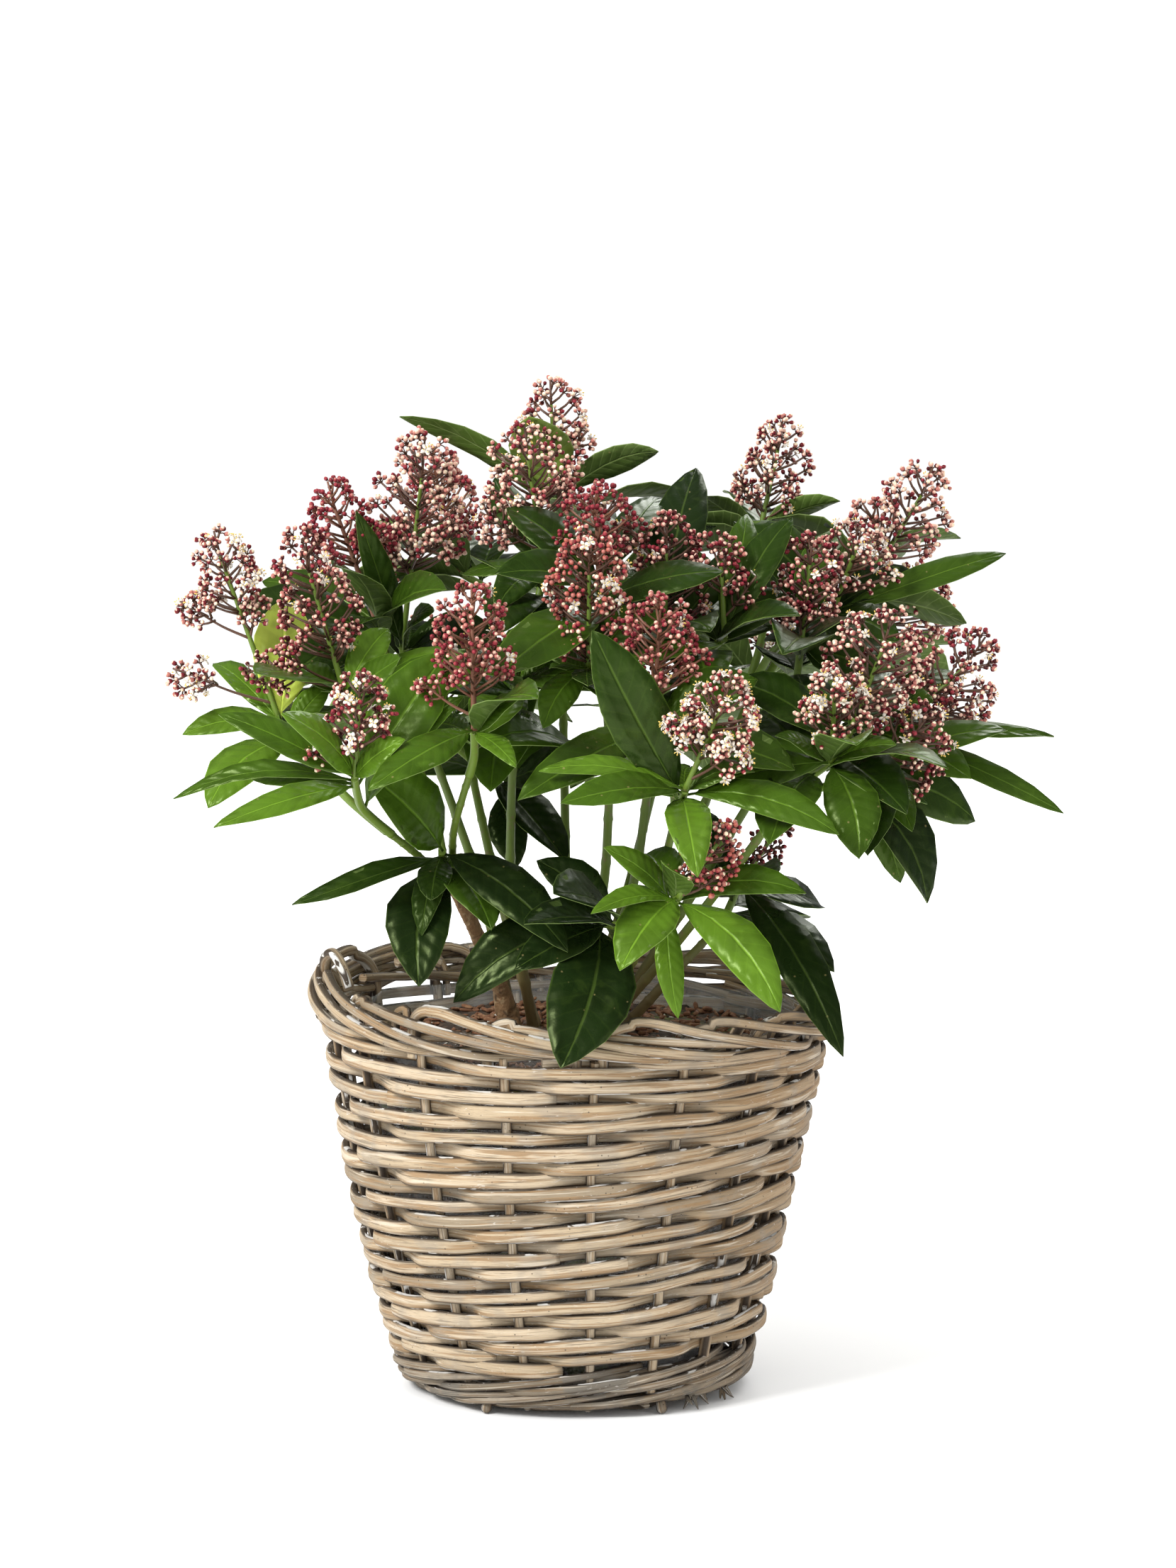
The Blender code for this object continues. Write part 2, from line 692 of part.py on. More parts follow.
def grow_stem(clearance, name, foot, ahead):
    luck = random.Random(name)
    _, whorl, head, size, _ = SHOOTS[name]
    whorl = Vector(whorl)
    reach = (whorl - foot).length
    lead = foot + ahead * 0.25 * reach + (whorl - foot) * 0.15
    path = limb_route(foot, [lead, whorl], STEM_RADIUS + ROOM, clearance, name, ahead)
    leafy = list(path)
    radii = taper(len(path), STEM_RADIUS, STEM_RADIUS * 0.9)
    axis = (path[-1] - path[-2]).normalized()
    pieces = []
    if head:
        head = Vector(head)
        axis = (head - whorl).normalized()
        passes = [whorl.lerp(head, 0.5), head]
        path += limb_route(whorl, passes, PEDUNCLE_RADIUS + ROOM, clearance, name, steps=1)[1:]
        radii += [PEDUNCLE_RADIUS, PEDUNCLE_RADIUS * 0.8]
        pieces += grow_head(clearance, name, head, axis + Vector((0, 0, 0.4)), size, luck)
        pieces += grow_sprays(clearance, name, whorl, head, luck)
    stem = tube(path, radii, 3, ahead)
    own = Clearance()
    for piece in [stem] + pieces:
        clearance.add(piece, name)
        own.add(piece, name)
    return {
        "stem": stem, "pieces": pieces, "whorl": whorl, "axis": axis, "path": leafy,
        "own": own, "grown": 0,
    }


def grow_head(clearance, name, head, axis, size, luck):
    """The main head of buds, drawn in a little where it would touch another."""
    for share in (1.0, 0.93, 0.86, 0.8, 0.72):
        bunch = cluster(head, axis, size[0] * share, size[1] * share, 7, 3, luck)
        if not clearance.touches(bunch, name):
            return [bunch]
    raise ValueError("no room for the head of " + name)


def grow_sprays(clearance, name, whorl, head, luck):
    """The loose sprays round a head, each on a twig from the head's stalk."""
    pieces = []
    for owner, centre, width in SPRAYS:
        if owner != name:
            continue
        centre = Vector(centre)
        share = (centre.z - whorl.z - 18) / (head.z - whorl.z)
        node = whorl.lerp(head, min(0.75, max(0.05, share)))
        bunch = cluster(centre, centre - node, width, width * 1.05, 5, 2, luck)
        route = [node, node.lerp(centre, 0.5), centre]
        room = tube(route, [SPRAY_STEM_RADIUS + ROOM] * 3, 3)
        if not clearance.touches(bunch, name) and not clearance.touches(room, name):
            pieces += [bunch, tube(route, [SPRAY_STEM_RADIUS] * 3, 3)]
    return pieces


def leaf_place(stem_path, place):
    """Where a leaf joins the stem: the upper leaves stand close together from the
    whorl down, the lower ones after a bare stretch."""
    down = place * LEAF_SPACING
    if place >= UPPER_LEAVES:
        down += LOWER_LEAVES_DROP
    whole = sum((b - a).length for a, b in zip(stem_path, stem_path[1:]))
    down = min(down, whole - FOOT_CLEARANCE - (LEAVES_PER_SHOOT - place) * 0.8)
    for lower, upper in zip(reversed(stem_path[:-1]), reversed(stem_path)):
        length = (upper - lower).length
        if down <= length:
            return upper.lerp(lower, down / length)
        down -= length
    return stem_path[0]


def try_leaf(clearance, name, shoot, tip, width, lean, fine):
    """Grow one leaf if it clears all other nodes and, past its stalk, its own shoot."""
    base = leaf_place(shoot["path"], shoot["grown"])
    blade = leaf(base.lerp(tip, STALK_SHARE), tip, width, lean, fine)
    if shoot["own"].touches(blade, None):
        return False
    if clearance.touches(leaf(base, tip, width, lean, fine, grow=LEAF_CLEARANCE), name):
        return False
    shape = leaf(base, tip, width, lean, fine)
    shoot["own"].add(blade, name)
    clearance.add(shape, name)
    shoot["pieces"].append(shape)
    shoot["grown"] += 1
    return True


def facing(whorl):
    """Leaves turn to the front on the front half of the shrub, else to the back."""
    return FACE_LEAN if whorl.y < BACK_HALF else -FACE_LEAN


def grow_shown_leaves(clearance, shoots):
    """The leaves that shape the outline. Where one would touch a neighbour it swings
    to the front or the back, which keeps its place as seen, and then is drawn back."""
    for name, shoot in shoots.items():
        whorl = shoot["whorl"]
        for x, y, z, width in SHOOTS[name][4]:
            for share, swing in SWINGS:
                tip = whorl + Vector((x, y, z)) * share + Vector((0, swing, 0))
                if try_leaf(clearance, name, shoot, tip, width * share, facing(whorl), True):
                    break


def grow_filling_leaves(clearance, shoots):
    """More leaves turn round each stem by the golden angle, the upper ones rising
    and the lower ones drooping, until the shoot is full."""
    for name, shoot in shoots.items():
        luck = random.Random(name + " leaves")
        whorl = shoot["whorl"]
        axis = (shoot["axis"] + Vector((0, 0, 0.6))).normalized()
        side = axis.orthogonal().normalized()
        other = axis.cross(side)
        turn = luck.uniform(0, math.tau)
        for attempt in range(40):
            if shoot["grown"] >= LEAVES_PER_SHOOT:
                break
            turn += GOLDEN_ANGLE
            share = shoot["grown"] / LEAVES_PER_SHOOT
            rise = math.radians(50 - 75 * share + luck.uniform(-8, 8))
            length = luck.uniform(*LEAF_LENGTH) * (0.8 + 0.2 * share)
            length *= (1.0, 0.85, 0.7)[attempt // 14]
            out = math.cos(turn) * side + math.sin(turn) * other
            base = leaf_place(shoot["path"], shoot["grown"])
            tip = base + length * (math.cos(rise) * out + math.sin(rise) * axis)
            if tip.z < LOWEST_LEAF:
                continue
            lean = facing(whorl) * luck.uniform(0.1, 1.0)
            try_leaf(clearance, name, shoot, tip, length * LEAF_SLIMNESS, lean, False)


def largest_body(made):
    """Keep a mesh's largest body, as triangles, without the doubled faces that a
    union can leave. Bodies are told apart by their edges, so a sealed hollow that
    meets the outside only in a point goes too. Says whether the rest is closed."""
    work = bmesh.new()
    work.from_mesh(made.data)
    bmesh.ops.remove_doubles(work, verts=work.verts, dist=1e-6)
    bmesh.ops.dissolve_degenerate(work, edges=work.edges, dist=1e-6)
    bmesh.ops.triangulate(work, faces=work.faces)
    work.verts.index_update()
    twins = {}
    for face in work.faces:
        twins.setdefault(frozenset(v.index for v in face.verts), []).append(face)
    doubled = [face for same in twins.values() if len(same) > 1 for face in same]
    bmesh.ops.delete(work, geom=doubled, context="FACES_ONLY")
    left = set(work.faces)
    bodies = []
    while left:
        front = [left.pop()]
        body = set(front)
        while front:
            for edge in front.pop().edges:
                for face in edge.link_faces:
                    if face in left and len(edge.link_faces) == 2:
                        left.discard(face)
                        body.add(face)
                        front.append(face)
        bodies.append(body)
    bodies.sort(key=len)
    for scrap in bodies[:-1]:
        bmesh.ops.delete(work, geom=list(scrap), context="FACES")
    wires = [edge for edge in work.edges if not edge.link_faces]
    bmesh.ops.delete(work, geom=wires, context="EDGES")
    closed = all(len(edge.link_faces) == 2 for edge in work.edges)
    work.to_mesh(made.data)
    work.free()
    return closed


def fuse(name, stem, pieces):
    """One Boolean union of the stem with all its leaves and blossom. Says whether
    it gave one closed body, and leaves no object if it didn't."""
    made = add_object(name, *stem, FOLIAGE)
    parts = bpy.data.collections.new(name + "_parts")
    bpy.context.scene.collection.children.link(parts)
    for points, faces in pieces:
        piece = bpy.data.objects.new(name + "_piece", mesh_of(name + "_piece", points, faces))
        parts.objects.link(piece)
    union = made.modifiers.new("union", "BOOLEAN")
    union.operation = "UNION"
    union.operand_type = "COLLECTION"
    union.collection = parts
    union.solver = "EXACT"
    bpy.context.view_layer.update()
    fused = bpy.data.meshes.new_from_object(
        made.evaluated_get(bpy.context.evaluated_depsgraph_get())
    )
    made.modifiers.clear()
    made.data = fused
    for piece in list(parts.objects):
        bpy.data.objects.remove(piece, do_unlink=True)
    bpy.data.collections.remove(parts)
    closed = largest_body(made)
    if not closed:
        bpy.data.objects.remove(made, do_unlink=True)
    return closed


def points_of(made):
    points = [tuple(c / MM for c in v.co) for v in made.data.vertices]
    return points, [tuple(p.vertices) for p in made.data.polygons]


def main():
    clear_scene()
    clearance = Clearance()
    basket = [make_floor(), make_foot_band(), make_wall(), make_border(), make_liner(), make_soil()]
    for made in basket:
        clearance.add(points_of(made), made.name)
    _, trunk_path = grow_trunk(clearance)
    starts = grow_boughs(clearance, trunk_path)
    shoots = {name: grow_stem(clearance, name, *starts[name]) for name in SHOOTS}
    grow_shown_leaves(clearance, shoots)
    grow_filling_leaves(clearance, shoots)
    for name, shoot in shoots.items():
        while not fuse(name, shoot["stem"], shoot["pieces"]):
            shoot["pieces"].pop()


main()
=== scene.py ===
# The looks of a skimmia shrub in bud and flower, potted in a tapered willow basket.
# Sizes are in millimetres until a mesh is made. The front is -Y and up is +Z.
import math
import random

import bpy
import numpy as np
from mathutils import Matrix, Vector
from mathutils.bvhtree import BVHTree


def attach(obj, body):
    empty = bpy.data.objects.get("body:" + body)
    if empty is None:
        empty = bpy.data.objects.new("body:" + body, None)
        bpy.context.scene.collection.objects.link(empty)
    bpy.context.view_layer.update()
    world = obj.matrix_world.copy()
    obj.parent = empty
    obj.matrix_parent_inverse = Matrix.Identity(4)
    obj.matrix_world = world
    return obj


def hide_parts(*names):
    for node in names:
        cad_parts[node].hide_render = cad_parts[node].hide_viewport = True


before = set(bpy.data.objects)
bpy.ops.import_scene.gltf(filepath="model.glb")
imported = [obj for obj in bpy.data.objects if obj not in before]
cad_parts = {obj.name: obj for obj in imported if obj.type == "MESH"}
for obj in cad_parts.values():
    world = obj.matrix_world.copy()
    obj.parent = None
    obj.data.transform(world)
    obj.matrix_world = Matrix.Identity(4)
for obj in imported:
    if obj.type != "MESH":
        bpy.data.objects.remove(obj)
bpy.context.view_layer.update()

# CAMERA AND STUDIO
# A long lens a little above the crown looks slightly down on the basket. It stands on a
# pale floor between wide soft lamps, the brightest high on the left. The room is bright,
# but dim in reflections, as dark screens beside the lamps would make it.
CAMERA_PLACE = (0.0074, -3.4, 0.80)
CAMERA_PITCH = 7.37
CAMERA_LENS = 132.97
FLOOR_HALF = 9.0
ROOM_LIGHT = 1.1
ROOM_SHINE = 0.13

camera = bpy.data.objects.new("camera", bpy.data.cameras.new("camera"))
camera.location = CAMERA_PLACE
camera.rotation_euler = (math.radians(90 - CAMERA_PITCH), 0, 0)
camera.data.lens = CAMERA_LENS
bpy.context.scene.collection.objects.link(camera)
bpy.context.scene.camera = camera
bpy.context.scene.view_settings.view_transform = "Standard"


def add_lamp(name, place, aim, size, power):
    """A square softbox at a place, turned to what it lights."""
    lamp = bpy.data.lights.new(name, "AREA")
    lamp.shape = "SQUARE"
    lamp.size = size
    lamp.energy = power
    stand = bpy.data.objects.new(name, lamp)
    stand.location = place
    stand.rotation_euler = (Vector(aim) - Vector(place)).to_track_quat("-Z", "Y").to_euler()
    bpy.context.scene.collection.objects.link(stand)


add_lamp("key_lamp", (-2.0, -1.9, 2.3), (0, 0, 0.3), 1.1, 118)
add_lamp("fill_lamp", (2.2, -2.4, 0.9), (0, 0, 0.3), 1.6, 8)
add_lamp("back_lamp", (0.9, 2.4, 2.2), (0, 0, 0.35), 1.6, 45)

world = bpy.data.worlds.new("studio")
world.use_nodes = True
shine = world.node_tree.nodes.new("ShaderNodeLightPath").outputs["Is Glossy Ray"]
dimmed = world.node_tree.nodes.new("ShaderNodeMapRange")
dimmed.inputs["To Min"].default_value = ROOM_LIGHT
dimmed.inputs["To Max"].default_value = ROOM_SHINE
background = world.node_tree.nodes["Background"]
background.inputs["Color"].default_value = (1, 1, 1, 1)
world.node_tree.links.new(shine, dimmed.inputs["Value"])
world.node_tree.links.new(dimmed.outputs["Result"], background.inputs["Strength"])
bpy.context.scene.world = world


class Paint:
    """A Principled material with short calls for the nodes that feed it."""

    def __init__(self, name, colour, roughness, **sockets):
        self.made = bpy.data.materials.new(name)
        self.made.use_nodes = True
        self.nodes = self.made.node_tree.nodes
        self.shader = self.nodes["Principled BSDF"]
        self.shader.inputs["Base Color"].default_value = (*colour, 1)
        self.shader.inputs["Roughness"].default_value = roughness
        for socket, value in sockets.items():
            self.shader.inputs[socket.replace("_", " ")].default_value = value
        self.place = self.nodes.new("ShaderNodeTexCoord").outputs["Object"]
        self.colour = None

    def link(self, start, end):
        """Join one node's output to another's input."""
        self.made.node_tree.links.new(start, end)

    def uv(self, scale):
        """The piece's own UVs, scaled along and across."""
        node = self.nodes.new("ShaderNodeMapping")
        node.inputs["Scale"].default_value = (*scale, 1)
        self.link(self.nodes.new("ShaderNodeUVMap").outputs["UV"], node.inputs["Vector"])
        return node.outputs["Vector"]

    def part(self, vector, axis):
        """One of a vector's three numbers."""
        node = self.nodes.new("ShaderNodeSeparateXYZ")
        self.link(vector, node.inputs["Vector"])
        return node.outputs[axis]

    def noise(self, scale, detail=4, coords=None, warp=0.0):
        """Cloudy noise from 0 to 1, on the piece's place unless given other coords."""
        node = self.nodes.new("ShaderNodeTexNoise")
        node.inputs["Scale"].default_value = scale
        node.inputs["Detail"].default_value = detail
        node.inputs["Distortion"].default_value = warp
        self.link(coords or self.place, node.inputs["Vector"])
        return node.outputs["Fac"]

    def spots(self, scale):
        """The distance to the nearest of scattered points."""
        node = self.nodes.new("ShaderNodeTexVoronoi")
        node.inputs["Scale"].default_value = scale
        self.link(self.place, node.inputs["Vector"])
        return node.outputs["Distance"]

    def ramp(self, value, low, high, start=0.0, end=1.0):
        """A smooth step of a value between two levels."""
        node = self.nodes.new("ShaderNodeMapRange")
        node.interpolation_type = "SMOOTHSTEP"
        for socket, number in zip(("From Min", "From Max", "To Min", "To Max"), (low, high, start, end)):
            node.inputs[socket].default_value = number
        self.link(value, node.inputs["Value"])
        return node.outputs["Result"]

    def math(self, operation, a, b=0.0):
        """One sum, of numbers or of other nodes' values."""
        node = self.nodes.new("ShaderNodeMath")
        node.operation = operation
        for socket, value in zip(node.inputs, (a, b)):
            if isinstance(value, (int, float)):
                socket.default_value = value
            else:
                self.link(value, socket)
        return node.outputs["Value"]

    def layer(self, colour, mask):
        """Lay a colour over what is there, where the mask is near one."""
        node = self.nodes.new("ShaderNodeMix")
        node.data_type = "RGBA"
        node.inputs["A"].default_value = self.shader.inputs["Base Color"].default_value
        if self.colour:
            self.link(self.colour, node.inputs["A"])
        node.inputs["B"].default_value = (*colour, 1)
        self.link(mask, node.inputs["Factor"])
        self.colour = node.outputs["Result"]
        self.link(self.colour, self.shader.inputs["Base Color"])

    def patch(self, colour, value, low, high, most=1.0):
        """Lay a colour from none of it to most as a value goes from low to high."""
        self.layer(colour, self.ramp(value, low, high, 0, most))

    def rough(self, value, low, high):
        """Let the roughness run from low to high with a value from 0 to 1."""
        self.link(self.ramp(value, 0, 1, low, high), self.shader.inputs["Roughness"])

    def bump(self, height, strength, distance):
        """Tilt the surface as a relief of this height would, without moving it."""
        node = self.nodes.new("ShaderNodeBump")
        node.inputs["Strength"].default_value = strength
        node.inputs["Distance"].default_value = distance
        self.link(height, node.inputs["Height"])
        self.link(node.outputs["Normal"], self.shader.inputs["Normal"])


floor_paint = Paint("studio_floor", (0.915, 0.915, 0.91), 0.9, Specular_IOR_Level=0.0)
floor_paint.bump(floor_paint.noise(160), 0.02, 0.001)
floor_mesh = bpy.data.meshes.new("studio_floor")
floor_mesh.from_pydata(
    [(x * FLOOR_HALF, y * FLOOR_HALF, 0) for x, y in ((-1, -1), (1, -1), (1, 1), (-1, 1))],
    [], [(0, 1, 2, 3)],
)
floor_mesh.materials.append(floor_paint.made)
floor = bpy.data.objects.new("studio_floor", floor_mesh)
bpy.context.scene.collection.objects.link(floor)

# WOVEN WALL
# Peeled willow rods go round seventeen upright stakes in one climbing spiral, over two
# stakes and under the next. Each rod tapers, and most ends are tucked behind a stake.
STAKES = 17
STAKE_TURN = math.radians(-85.7)
BAND_TOP = 27.0
WALL_TOP = 215.0
RIM_TOP = 244.0
WALL_RADIUS_AT_BAND = 112.0
WALL_RADIUS_AT_RIM = 152.0
WEAVE_ROWS = 24
RIM_DROP = 8.0
BAND_LIFT = 3.0
ROW_TILT = 7.0
ROW_CLIMB = 10.0
STAKE_RADIUS = 3.1
ROD_THICK = 5.0
ROD_HEIGHT = 8.4
ROD_SIDES = 12
STAKE_DEPTH = ROD_THICK + STAKE_RADIUS + 0.2
ROD_POINTS = 190
NEST_SHIFT = 0.55
TOP_ROW_RISE = 5.0
BUTT_SHOWN = 0.42
TUCK = 0.55
MM = 0.001

# How deep behind a stake a rod passes and how far it swings out from there, as shares of
# the stake's radius and half a rod, and where the bend beside the stake starts and how
# long it is, with one from stake to stake
SWING_BEHIND = -0.75
SWING_SPAN = 1.72
BEND_START = 0.10
BEND_LENGTH = 0.72


def noise(points, size, seed, waves=9):
    """Smooth noise from about -1 to 1: a mean of sine waves with seeded headings and
    phases, about one size long."""
    luck = np.random.default_rng(seed)
    headings = luck.normal(size=(waves, 3))
    headings /= np.linalg.norm(headings, axis=1, keepdims=True)
    headings *= math.tau / size * luck.uniform(0.6, 1.5, (waves, 1))
    return 1.9 * np.sin(points @ headings.T + luck.uniform(0, math.tau, waves)).mean(axis=-1)


def unit(vectors):
    """Each vector divided by its length."""
    return vectors / np.maximum(np.linalg.norm(vectors, axis=-1, keepdims=True), 1e-9)


def square_off(vectors, ahead):
    """Each vector less its share along a heading, at length one."""
    return unit(vectors - ahead * (vectors * ahead).sum(-1, keepdims=True))


def ring_place(turn, radius, height):
    """Points at a turn, a radius and a height round the upright axis."""
    spots = np.broadcast_arrays(radius * np.cos(turn), radius * np.sin(turn), height)
    return np.stack(spots, axis=-1)


def way_round(angle, side, other):
    """The heading at an angle round an axis: cos(angle) side + sin(angle) other."""
    return np.cos(angle)[..., None] * side + np.sin(angle)[..., None] * other


def even_turns(count):
    """Turns spread evenly round a circle."""
    return math.tau * np.arange(count) / count


def length_along(paths):
    """The length of each path up to each of its points."""
    steps = np.diff(paths, axis=1, prepend=paths[:, :1])
    return np.linalg.norm(steps, axis=-1).cumsum(axis=1)


def shade_of(colour, factor):
    """A colour made lighter or darker by a factor."""
    return tuple(factor * c for c in colour)


def skins(rings, along=None, across=None, finish=0, tint=None, crease=False):
    """A batch of closed skins from rings of points, an array of skins by rings by
    points round: quads join each ring to the next, and a flat face shuts each end.
    along and across are UVs, tint a shade per skin, finish a material per quad, and
    quads in a crease are shaded flat."""
    count, length, around, _ = rings.shape
    shape = (count, length, around)
    spread = lambda value, default: np.broadcast_to(default if value is None else value, shape)
    step = np.arange(length)[None, :, None] / length
    turn = np.arange(around)[None, None, :] / around
    shade = np.zeros(count) if tint is None else tint
    return {
        "rings": rings,
        "uv": np.stack([spread(along, step), spread(across, turn)], axis=-1),
        "tint": np.broadcast_to(shade[:, None, None], shape),
        "finish": np.broadcast_to(finish, (count, length - 1, around)),
        "crease": np.broadcast_to(crease, (count, length - 1, around)),
    }


def add_piece(name, batches, paints, stands_for=()):
    """Join batches of skins into one piece, with UVs, a tint and a material for each
    face, and put it on the body that the basket and the shrub share."""
    corners, sizes, finishes, flats = [], [], [], []
    first = 0
    for batch in batches:
        count, length, around, _ = batch["rings"].shape
        index = first + np.arange(count * length * around).reshape(count, length, around)
        beside = np.roll(index, -1, axis=2)
        quads = np.stack([index[:, :-1], beside[:, :-1], beside[:, 1:], index[:, 1:]], axis=-1)
        ends = np.concatenate([index[:, 0, ::-1], index[:, -1]])
        corners += [quads.ravel(), ends.ravel()]
        sizes += [np.full(quads.size // 4, 4), np.full(len(ends), around)]
        finish = batch["finish"]
        finishes += [finish.ravel(), finish[:, 0, 0], finish[:, -1, 0]]
        flats += [batch["crease"].ravel(), np.ones(len(ends), bool)]
        first += index.size
    corners = np.concatenate(corners).astype(np.int32)
    sizes = np.concatenate(sizes)
    places = np.concatenate([b["rings"].reshape(-1, 3) for b in batches]) * MM
    uvs = np.concatenate([b["uv"].reshape(-1, 2) for b in batches])
    mesh = bpy.data.meshes.new(name)
    mesh.vertices.add(len(places))
    mesh.vertices.foreach_set("co", places.astype(np.float32).ravel())
    mesh.loops.add(len(corners))
    mesh.loops.foreach_set("vertex_index", corners)
    mesh.polygons.add(len(sizes))
    mesh.polygons.foreach_set("loop_start", (np.cumsum(sizes) - sizes).astype(np.int32))
    mesh.polygons.foreach_set("material_index", np.concatenate(finishes).astype(np.int32))
    mesh.update(calc_edges=True)
    mesh.attributes.new("sharp_face", "BOOLEAN", "FACE")
    mesh.attributes["sharp_face"].data.foreach_set("value", np.concatenate(flats))
    mesh.uv_layers.new(name="UVMap").data.foreach_set("uv", uvs[corners].astype(np.float32).ravel())
    tints = np.concatenate([b["tint"].ravel() for b in batches]).astype(np.float32)
    mesh.attributes.new("tint", "FLOAT", "POINT").data.foreach_set("value", tints)
    for paint in paints:
        mesh.materials.append(paint.made)
    piece = bpy.data.objects.new(name, mesh)
    bpy.context.scene.collection.objects.link(piece)
    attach(piece, "root")
    if stands_for:
        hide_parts(*stands_for)


def settle(x, z):
    """Height a handmade basket gains or loses at this place: the rim sinks to the
    right, the foot band lifts there, and the rows between climb that way."""
    side = x / WALL_RADIUS_AT_RIM
    share = z / RIM_TOP
    woven = np.clip((z - BAND_TOP) / (WALL_TOP - BAND_TOP), 0, 1)
    lean = (1 - share) * BAND_LIFT * (1 + side) - share * RIM_DROP * side
    climb = ROW_CLIMB * side * np.sin(np.pi * woven ** 0.8)
    return lean + ROW_TILT * side * np.sin(np.pi * share) + climb


def wall_radius(z):
    """Outer radius of the wall: a straight taper with a slight belly."""
    share = (z - BAND_TOP) / (WALL_TOP - BAND_TOP)
    taper = WALL_RADIUS_AT_BAND + share * (WALL_RADIUS_AT_RIM - WALL_RADIUS_AT_BAND)
    return taper + 2.0 * np.sin(np.pi * np.clip(share, 0, 1))


def rods(turn, radius, height, thick, tall, tint, seed, square=0.8):
    """Rods that run round the basket. Arrays of rods by points give the turn, radius
    and height of their centrelines. The section is a rounded oblong, the cosine and
    sine of an angle to the power of square, thick outwards and tall upwards, and it
    starts on the hidden inner side."""
    outward = ring_place(turn, 1.0, 0.0)
    middle = radius[..., None] * outward
    middle[..., 2] = height + settle(middle[..., 0], height)
    middle = middle + 0.35 * noise(middle, 60, seed + 1)[..., None] * outward
    length = length_along(middle)
    ahead = unit(np.gradient(middle, axis=1))
    upward = unit(np.cross(outward, ahead))
    upward *= np.sign(upward[..., 2:])
    out = unit(np.cross(ahead, upward))
    out = out * np.sign((out * outward).sum(-1))[..., None]
    angle = math.pi + even_turns(ROD_SIDES)
    bend = lambda wave: np.sign(wave) * np.abs(wave) ** square
    lumps = 1 + 0.05 * noise(middle, 28, seed + 2)
    reach = (thick / 2 * lumps)[..., None, None] * bend(np.cos(angle))[:, None] * out[:, :, None]
    lift = (tall / 2 * lumps)[..., None, None] * bend(np.sin(angle))[:, None] * upward[:, :, None]
    rings = middle[:, :, None] + reach + lift
    if np.cross(out[0, 0], upward[0, 0]) @ ahead[0, 0] < 0:
        rings = rings[:, ::-1]
        length = length[:, ::-1]
    offset = 3000.0 * np.arange(len(turn))[:, None]
    return skins(rings, ((length + offset) * MM)[..., None], np.sin(angle), tint=tint)


def spiral_rods():
    """The climbing spiral, counted in stakes passed to the left. A rod is behind a
    stake at each third count and in front at the two between, with a bend beside each
    stake it goes behind. It starts with its thick or its thin end, and some thick
    ends lie in front, where their cut shows."""
    luck = random.Random("wall rods")
    joints = [0]
    while joints[-1] < WEAVE_ROWS * STAKES:
        joints.append(min(joints[-1] + 3 * luck.choice((4, 5, 5, 6)), WEAVE_ROWS * STAKES))
    butt_first = np.array([luck.random() < 0.6 for _ in joints[1:]])[:, None]
    passed = []
    for start, end, butt in zip(joints, joints[1:], butt_first[:, 0]):
        lead = BUTT_SHOWN if butt and luck.random() < 0.7 else -TUCK
        passed.append(np.linspace(start + lead, end + TUCK, ROD_POINTS))
    passed = np.array(passed)
    wave = math.tau * passed / 3
    from_stake = np.abs((passed + 1.5) % 3 - 1.5)
    bend = np.clip((from_stake - BEND_START) / BEND_LENGTH, 0, 1)
    swing = SWING_BEHIND + SWING_SPAN * bend * bend * (3 - 2 * bend)
    pitch = (WALL_TOP + TOP_ROW_RISE - BAND_TOP) / WEAVE_ROWS
    height = BAND_TOP + pitch * passed / STAKES + NEST_SHIFT * np.sin(wave)
    turn = STAKE_TURN - math.tau * passed / STAKES
    height = np.clip(height, BAND_TOP + 2, WALL_TOP + TOP_ROW_RISE - 2)
    height = height + noise(ring_place(turn, 140, 2 * height), 95, 5)
    share = np.linspace(0, 1, ROD_POINTS)[None, :]
    share = np.where(butt_first, share, 1 - share)
    size = np.array([luck.uniform(0.88, 1.12) for _ in passed])[:, None]
    size = size * (1.12 - 0.30 * share)
    looser = 1 + 0.35 * np.clip(np.cos(turn + 0.15), 0, 1) ** 3 * (1 - height / WALL_TOP)
    reach = (STAKE_RADIUS + ROD_THICK / 2) * swing * looser
    radius = wall_radius(height) - STAKE_DEPTH + reach
    tint = np.array([luck.random() for _ in passed])
    return rods(turn, radius, height, ROD_THICK * size, ROD_HEIGHT * size, tint, 7)


def tubes(paths, radii, around, tint=None, finish=0):
    """Round tubes along an array of paths: at each point a circle square to the path,
    turned to a side that stays the same along the whole tube."""
    ahead = unit(np.gradient(paths, axis=1))
    whole = unit(paths[:, -1] - paths[:, 0])
    axes = np.eye(3)[np.abs(whole).argmin(axis=1)]
    side = square_off(np.cross(axes, whole)[:, None], ahead)
    other = np.cross(ahead, side)
    angle = even_turns(around)
    circle = way_round(angle, side[:, :, None], other[:, :, None])
    rings = paths[:, :, None] + radii[:, :, None, None] * circle
    along = (length_along(paths) * MM)[..., None]
    return skins(rings, along, np.sin(angle), tint=tint, finish=finish)


def upright_stakes():
    """The stakes stand on one circle inside the wall and lean out with it."""
    height = np.linspace(9, WALL_TOP + 4, 60)[None, :] + np.zeros((STAKES, 1))
    turn = (STAKE_TURN + even_turns(STAKES))[:, None] + 0 * height
    luck = np.random.default_rng(3)
    turn = turn + 0.006 * np.sin(height / 34 + luck.uniform(0, 6, (STAKES, 1)))
    radius = wall_radius(np.maximum(height, BAND_TOP - 12)) - STAKE_DEPTH
    paths = ring_place(turn, radius, height)
    paths[..., 2] += settle(paths[..., 0], height)
    radii = STAKE_RADIUS * (1 + 0.06 * noise(paths, 30, 4))
    return tubes(paths, radii, 10, tint=luck.uniform(0.6, 1.0, STAKES))


